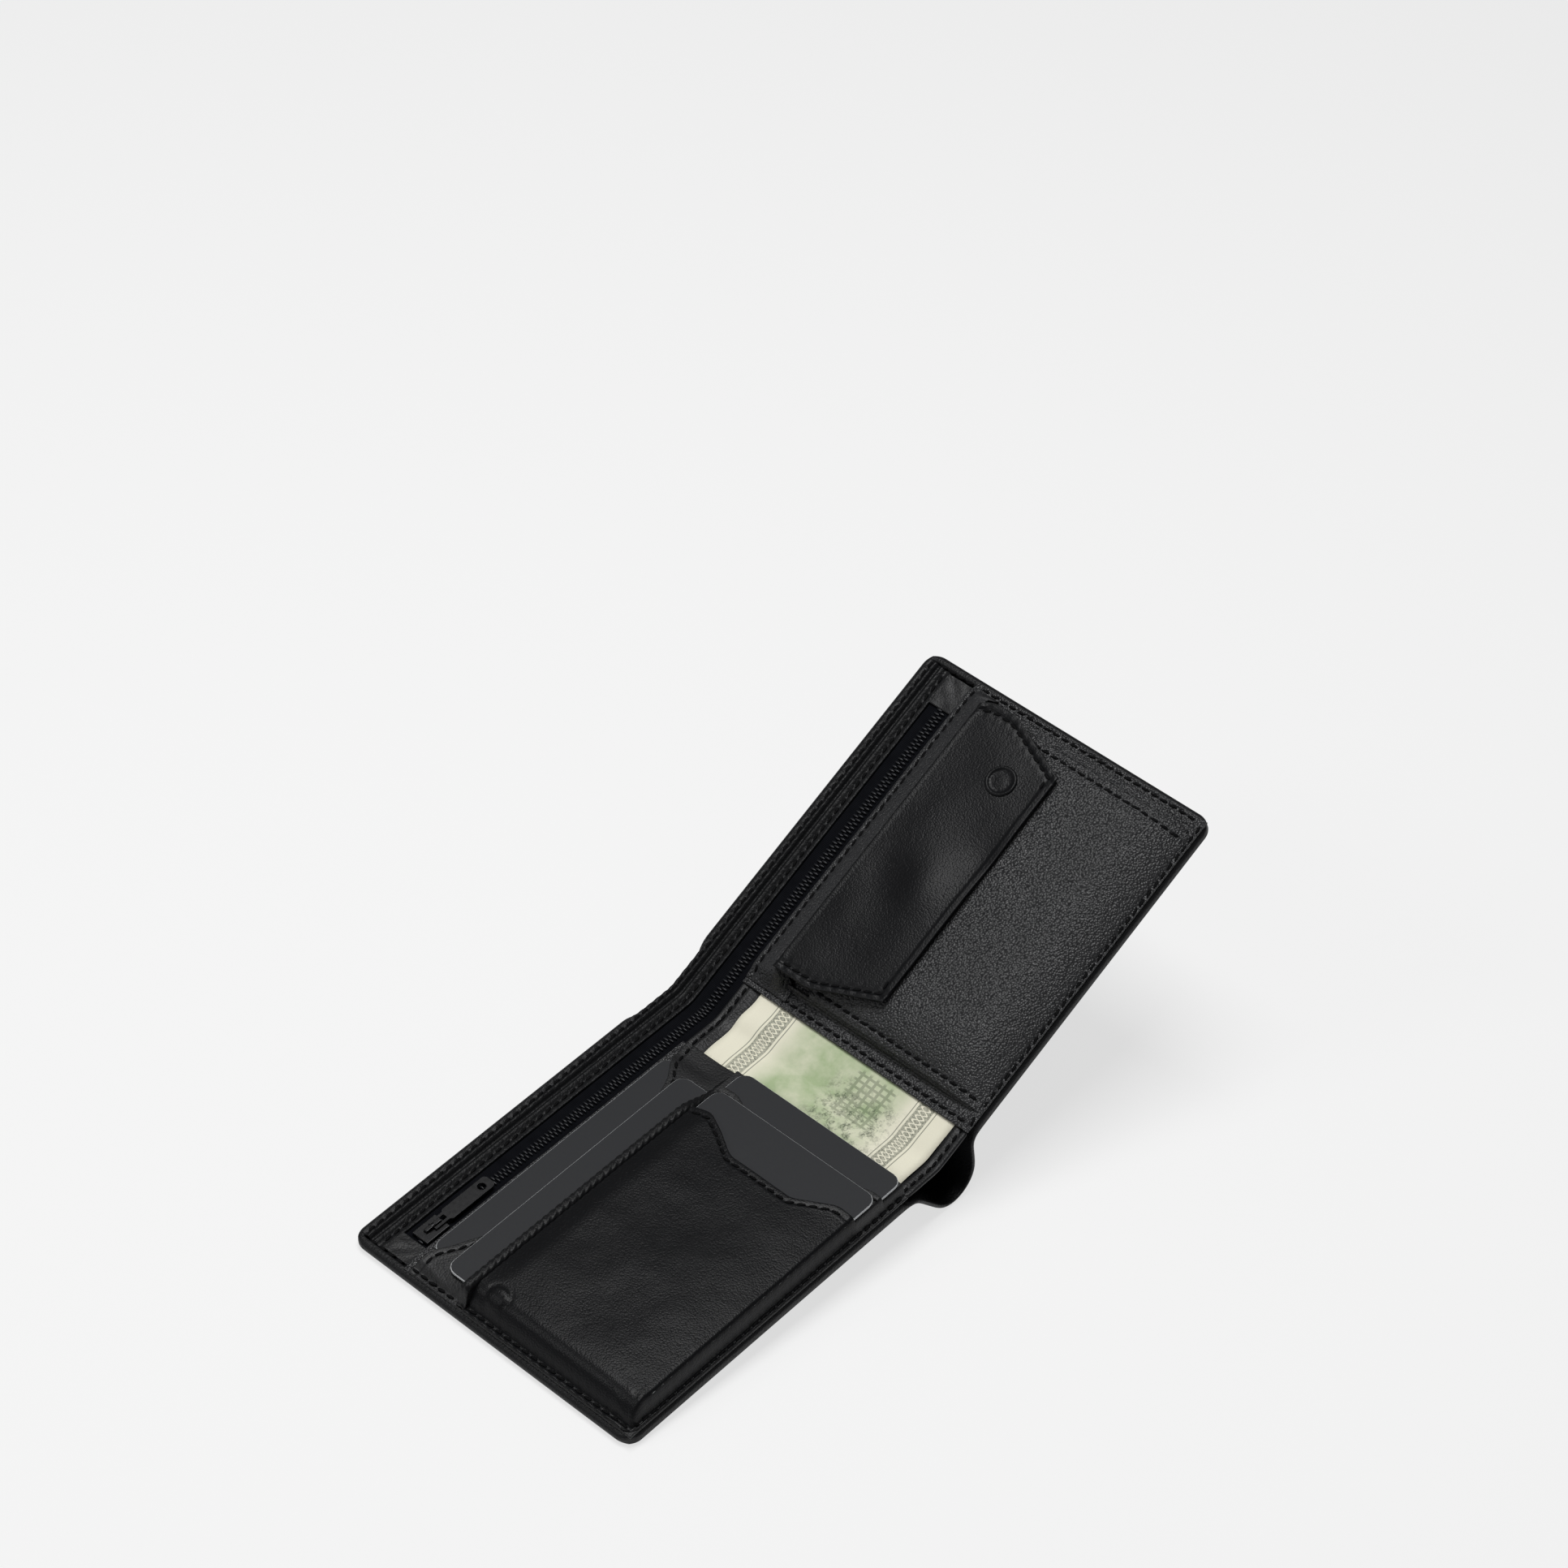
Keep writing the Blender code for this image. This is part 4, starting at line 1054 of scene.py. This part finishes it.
def make_coin_pouch():
    """Coin panel, pouch front and its folded gussets."""

    def panel_top(u, v):
        edge = min(PANEL_TOP_V - v, u - COIN_PANEL_FOLD_U)
        seam = max(smooth((u - 110.5) / 2.0), smooth((-43.5 - v) / 2.0))
        w = 3.55 + 0.4 * seam + hem(edge, 0.2, 3.2) - groove(edge - 2.0, 0.26) + pleats(u, v, 113.0, -46.5, 0.15)
        w += pucker(edge - 2.0, v) + pucker(SEAM_U - u, v)
        return w - groove(SEAM_U - u, 0.25) - groove(v - SEAM_V, 0.2) + uneven(u, v, 7.0, 0.06, 13.0)

    low_u, high_v = COIN_PANEL_FOLD_U, PANEL_TOP_V
    panel("coin_base", COIN, "coin_panel", ticks(low_u, EDGE_U, 1.2), ticks(EDGE_V, high_v, 0.75), as_given,
          panel_top, 0.5, rim(low_u, EDGE_U, EDGE_V, high_v), "pebbled_leather")
    rows = [[(low_u + 2.0, -44.5), (low_u + 2.0, 29.0)], [(SEAM_U, -44.0), (SEAM_U, 43.5)],
            [(14.0, SEAM_V), (18.0, SEAM_V)], [(13.0, 17.5), (19.0, 17.5)]]
    sew_half("coin_base_stitches", COIN, rows, lambda u, v: panel_top(u, v) if v < 29 else 2.7)
    panel("coin_pouch", COIN, "coin_pouch_front", ticks(POUCH_LOW_U, POUCH_HIGH_U, 0.75),
          ticks(EDGE_V, POUCH_MOUTH_V, 0.75), as_given, pouch_top, 0.55,
          rim(POUCH_LOW_U, POUCH_HIGH_U, EDGE_V, POUCH_MOUTH_V), "pebbled_leather")
    rows = [[(POUCH_LOW_U + 2.3, 10.0), (POUCH_LOW_U + 2.3, -43.5)],
            [(POUCH_HIGH_U - 2.3, 10.0), (POUCH_HIGH_U - 2.3, -43.5)],
            [(19.5, SEAM_V), (111.0, SEAM_V)]]
    sew_half("coin_pouch_stitches", COIN, rows, lambda u, v: pouch_top(min(u, 108.0), v))
    make_gusset("fold_side", POUCH_LOW_U, [(0.15, 1.0), (-0.9, 0.70), (-1.3, 0.35), (-2.9, 0.0)], 19.8, 0.08)
    make_gusset("outer_side", POUCH_HIGH_U, [(0.2, 1.0), (2.5, 0.78), (0.5, 0.5), (3.1, 0.28), (2.0, 0.0)], 15.8, 0.35)


def make_gusset(label, edge_u, folds, high_v, fall):
    """A soft folded side wall of the pouch, from its ridge down to the panel, falling past the mouth."""
    steps = [k / 24 for k in range(25)]

    def middle(t):
        spot = t * (len(folds) - 1)
        k = min(int(spot), len(folds) - 2)
        part = smooth(spot - k)
        return (folds[k][0] + (folds[k + 1][0] - folds[k][0]) * part,
                folds[k][1] + (folds[k + 1][1] - folds[k][1]) * (spot - k))

    def place(v, t, over):
        high = pouch_top(edge_u, min(v, POUCH_MOUTH_V)) - 0.55 - fall * max(0.0, v - POUCH_MOUTH_V)
        out, share = middle(t)
        out *= min(1.0, (high - 3.7) / 5.0)
        return on_half(COIN, edge_u + out + (0.22 if over else -0.22), v, 3.7 + (high - 3.7) * share)

    wall = slab("pouch_gusset_" + label + "_folded", ticks(-44.2, high_v, 2.0), steps, place,
                "pebbled_leather")
    on_body(wall, "coin_side", "black_leather", "pouch_gusset_" + label)


def flap_top(u, v):
    """Height of the flap: turned edges, stitch grooves, a crease and a soft hollow."""
    edge = min(u - follow(FLAP_LEFT, v), follow(FLAP_RIGHT, v) - u)
    free = v - FLAP_LOW_V
    w = 11.25 + hem(min(edge, free), 0.22, 1.5) + hem(FLAP_HIGH_V - v, 0.1, 0.8)
    w -= groove(edge - 2.3, 0.24) - pucker(edge - 2.3, v, depth=0.1)
    inner = smooth(edge / 14.0) * smooth(free / 9.0) * smooth((22.0 - v) / 8.0)
    bulge = math.exp(-((u - 57) / 9.0) ** 2 - ((v - 2.5) / 6.5) ** 2)
    dent = math.exp(-((u - 73) / 8.0) ** 2 - ((v + 6.5) / 6.0) ** 2)
    w += inner * uneven(u, v, 16.0, 0.45, 21.0) + 0.9 * bulge - 0.65 * dent
    snap = math.hypot(u - SNAP_AT[0], v - SNAP_AT[1])
    return w + 0.18 * math.exp(-(snap / 6.5) ** 2)


def strip_low(u):
    """Lower edge of the strip: it runs further down at the fold end, where it closes the pouch."""
    return 21.6 - 5.0 * (1 - smooth((u - 18.0) / 3.5))


def strip_top(u, v):
    """Height of the leather that climbs from the coin panel to the flap and closes down at its ends."""
    ends = smooth((u - 13.5) / 6.0) * smooth((112.8 - u) / 3.5) * (1 - smooth((21.9 - v) / 4.8))
    climb = 4.0 + (1.3 + 4.9 * min(1.0, max(0.0, (PANEL_TOP_V - v) / 8.6))) * ends
    return climb + hem(PANEL_TOP_V - v, 0.2, 0.6) - groove(v - STRIP_SEAM_V, 0.26) + pucker(v - STRIP_SEAM_V, u)


def make_flap():
    """The strip that carries the flap, and the flap with its stitches and lining."""
    panel("coin_flap_strip", COIN, "pouch_top_strip", ticks(STRIP_LOW_U, STRIP_HIGH_U, 0.75), shares(STRIP_SPAN, 0.5),
          lambda a, b: (a, strip_low(a) + (PANEL_TOP_V - strip_low(a)) * b), strip_top, 0.5,
          share_rim(STRIP_SPAN, STRIP_LOW_U, STRIP_HIGH_U, False), "pebbled_leather")
    sew_half("coin_flap_strip_stitches", COIN, [[(15.5, STRIP_SEAM_V), (111.5, STRIP_SEAM_V)]], strip_top)

    def spot(a, v):
        left, right = follow(FLAP_LEFT, v), follow(FLAP_RIGHT, v)
        return left + (right - left) * a, v

    panel("coin_flap_leather", COIN, "flap_leather", shares(FLAP_SPAN, 0.9), ticks(FLAP_LOW_V, FLAP_HIGH_V, 0.75),
          spot, flap_top, 0.6, share_rim(FLAP_SPAN, FLAP_LOW_V, FLAP_HIGH_V), "smooth_leather", "coin_flap")
    left = [(follow(FLAP_LEFT, v) + 2.3, v) for v in (20.5, 16.0, 10.2, 6.0, 0.0, -6.9)]
    right = [(follow(FLAP_RIGHT, v) - 2.3, v) for v in (20.5, 16.0, 11.0, 6.0, 0.0, -6.9)]
    left.append((left[-1][0] + 3.2, -7.0))
    right.append((right[-1][0] - 3.2, -7.0))
    sew_half("coin_flap_stitches", COIN, [left, right], flap_top, "coin_flap")

    def lining_spot(a, v):
        low, high = follow(FLAP_LEFT, v) + 0.3, follow(FLAP_RIGHT, v) - 0.3
        return low + (high - low) * a, v

    panel("coin_flap_lining", COIN, "flap_lining", shares(FLAP_SPAN, 0.9), ticks(-9.0, 19.0, 1.5), lining_spot,
          lambda u, v: min(10.6, flap_top(u, v) - 0.55), 0.3,
          share_rim(FLAP_SPAN, -9.0, 19.0), "inner_leather", "coin_flap")


def spun(name, profile, finish):
    """A turned piece about the snap's axis, from radius and height pairs."""
    mesh = bmesh.new()
    lift = Matrix.Translation(on_half(COIN, *SNAP_AT, 0.0)) @ Matrix.Rotation(-RAISED, 4, "Y")
    points = [mesh.verts.new((radius * MM, 0.0, w * MM)) for radius, w in profile]
    edges = [mesh.edges.new(pair) for pair in zip(points, points[1:])]
    bmesh.ops.spin(mesh, geom=points + edges, cent=(0, 0, 0), axis=(0, 0, 1), angle=2 * math.pi, steps=40,
                   use_merge=True)
    bmesh.ops.remove_doubles(mesh, verts=mesh.verts, dist=0.002 * MM)
    bmesh.ops.transform(mesh, matrix=lift, verts=mesh.verts)
    return finished(name, mesh, finish)


def make_snap():
    """Stud, socket and the round cap embossed through the flap."""
    stud = spun("snap_stud_turned", [(0.0, 9.75), (4.0, 9.78), (4.05, 9.95), (3.8, 10.1), (2.2, 10.12),
                                     (1.75, 10.2), (1.95, 10.4), (1.6, 10.55), (0.0, 10.6)], "blackened_metal")
    on_body(stud, "coin_side", "black_metal", "snap_stud")
    socket = spun("snap_socket_turned", [(2.3, 10.3), (4.2, 10.3), (4.3, 10.42), (4.2, 10.6), (2.5, 10.62),
                                         (2.3, 10.5), (2.3, 10.3)], "blackened_metal")
    on_body(socket, "coin_flap", "black_metal", "snap_socket")
    cap = spun("snap_cap_embossed", [(0.0, 11.1), (4.3, 11.1), (4.42, 11.5), (4.25, 11.8), (3.95, 11.92),
                                     (3.6, 11.86), (3.4, 11.66), (3.1, 11.5), (2.4, 11.46), (1.6, 11.52),
                                     (0.8, 11.57), (0.0, 11.58)], "smooth_leather")
    on_body(cap, "coin_flap", "black_leather", "snap_cap")


class WALLET_OT_coin_side(bpy.types.Operator):
    """Make the coin panel, the pouch and its gussets"""

    bl_idname = "wallet.coin_side"
    bl_label = "Coin side"

    def execute(self, context):
        make_coin_pouch()
        return {"FINISHED"}


class WALLET_OT_coin_flap(bpy.types.Operator):
    """Make the coin flap and its snap"""

    bl_idname = "wallet.coin_flap"
    bl_label = "Coin flap and snap"

    def execute(self, context):
        make_flap()
        make_snap()
        return {"FINISHED"}


# Stage


def area_light(name, at, aim, size, power):
    """A soft square light that looks at a point."""
    data = bpy.data.lights.new(name, "AREA")
    data.shape = "SQUARE"
    data.size = size
    data.energy = power
    lamp = bpy.data.objects.new(name, data)
    lamp.location = at
    lamp.rotation_mode = "QUATERNION"
    lamp.rotation_quaternion = (Vector(at) - Vector(aim)).to_track_quat("Z", "Y")
    bpy.context.scene.collection.objects.link(lamp)


def make_stage(context):
    """Floor, lights, world and camera."""
    mesh = bmesh.new()
    bmesh.ops.create_grid(mesh, x_segments=4, y_segments=4, size=2.5)
    bmesh.ops.translate(mesh, verts=mesh.verts, vec=(0.0, 0.0, -0.0002))
    floor = finished("floor", mesh, "floor_paper")
    area_light("overhead_light", (-0.02, 0.12, 1.15), (0.0, 0.0, 0.02), 0.6, 10.0)
    area_light("side_light", (-0.85, 0.45, 0.72), (0.0, 0.0, 0.02), 0.3, 1.6)
    world = bpy.data.worlds.new("studio")
    world.use_nodes = True
    world.node_tree.nodes["Background"].inputs["Color"].default_value = (1.0, 1.0, 1.0, 1.0)
    world.node_tree.nodes["Background"].inputs["Strength"].default_value = 0.10
    context.scene.world = world
    context.scene.view_settings.view_transform = "Standard"
    data = bpy.data.cameras.new("camera")
    data.lens = 105.85
    data.sensor_width = 36.0
    data.clip_start, data.clip_end = 0.05, 20.0
    camera = bpy.data.objects.new("camera", data)
    camera.location = (-0.68133, -0.51926, 0.83193)
    camera.rotation_euler = tuple(math.radians(turn) for turn in (50.005, -4.824, -48.097))
    context.scene.collection.objects.link(camera)
    context.scene.camera = camera


class WALLET_OT_stage(bpy.types.Operator):
    """Make the floor, the lights and the camera"""

    bl_idname = "wallet.stage"
    bl_label = "Stage"

    def execute(self, context):
        make_stage(context)
        return {"FINISHED"}


class WALLET_OT_finishes(bpy.types.Operator):
    """Make the leather, cloth, thread, metal, plastic and paper materials"""

    bl_idname = "wallet.finishes"
    bl_label = "Finishes"

    def execute(self, context):
        make_materials(context.scene.wallet_colours)
        return {"FINISHED"}


# Settings and panel


def tint(name, description, default):
    """A colour setting."""
    return FloatVectorProperty(name=name, description=description, default=default, subtype="COLOR", min=0.0,
                               max=1.0, size=3)


class WalletSizes(bpy.types.PropertyGroup):
    """Sizes that a user may change."""

    stitch_pitch: FloatProperty(name="Stitch pitch", description="Distance from one stitch to the next",
                                default=3.0 * MM, min=1.0 * MM, max=8.0 * MM, unit="LENGTH")


class WalletColours(bpy.types.PropertyGroup):
    """Colours that a user may change."""

    leather: tint("Leather", "Dyed leather", (0.0050, 0.0052, 0.0059))
    field: tint("Pebbled leather", "Inner leather with a pebbled grain", (0.0135, 0.0138, 0.0152))
    lining: tint("Lining", "Lining cloth", (0.010, 0.010, 0.012))
    tape: tint("Zip tape", "Woven zip tape", (0.0085, 0.0090, 0.0112))
    thread: tint("Thread", "Sewing thread", (0.0042, 0.0042, 0.0046))
    zip_teeth: tint("Zip coil", "Coil of the zip", (0.012, 0.013, 0.016))
    metal: tint("Metal", "Black metal of the zip and snap", (0.030, 0.030, 0.031))
    card: tint("Card", "Faces of the cards", (0.0180, 0.0190, 0.0215))
    # Painted highlight: the cards' edges are far lighter than their faces so that they show as bright lit lines.
    card_edge_highlight: tint("Card edge", "Cut edges of the cards", (0.42, 0.43, 0.44))
    note_paper: tint("Note paper", "Unprinted paper", (0.90, 0.87, 0.71))
    note_green: tint("Note wash", "Pale printed field", (0.42, 0.52, 0.30))
    note_ink: tint("Note ink", "Dark printed lines", (0.030, 0.050, 0.028))
    floor: tint("Floor", "Studio floor", (0.25, 0.25, 0.25))


STEPS = ("finishes", "stage", "cover", "zipped_pocket", "banknote", "card_side", "cards", "coin_side", "coin_flap")


class WALLET_PT_panel(bpy.types.Panel):
    """Buttons and settings of the wallet"""

    bl_idname = "WALLET_PT_panel"
    bl_label = "Bifold wallet"
    bl_space_type = "VIEW_3D"
    bl_region_type = "UI"
    bl_category = "Wallet"

    def draw(self, context):
        layout = self.layout
        for group in (context.scene.wallet_sizes, context.scene.wallet_colours):
            for key in group.bl_rna.properties.keys():
                if key not in ("rna_type", "name"):
                    layout.prop(group, key)
        for step in STEPS:
            layout.operator("wallet." + step)


CLASSES = (WalletSizes, WalletColours, WALLET_OT_finishes, WALLET_OT_stage, WALLET_OT_cover,
           WALLET_OT_zipped_pocket, WALLET_OT_banknote, WALLET_OT_card_side, WALLET_OT_cards,
           WALLET_OT_coin_side, WALLET_OT_coin_flap, WALLET_PT_panel)


def register():
    """Register the classes and their settings."""
    for cls in CLASSES:
        bpy.utils.register_class(cls)
    bpy.types.Scene.wallet_sizes = PointerProperty(type=WalletSizes)
    bpy.types.Scene.wallet_colours = PointerProperty(type=WalletColours)


def unregister():
    """Remove the settings and the classes."""
    del bpy.types.Scene.wallet_colours
    del bpy.types.Scene.wallet_sizes
    for cls in reversed(CLASSES):
        bpy.utils.unregister_class(cls)


def main():
    """Build the whole wallet."""
    register()
    for step in STEPS:
        getattr(bpy.ops.wallet, step)()


if __name__ == "__main__":
    main()
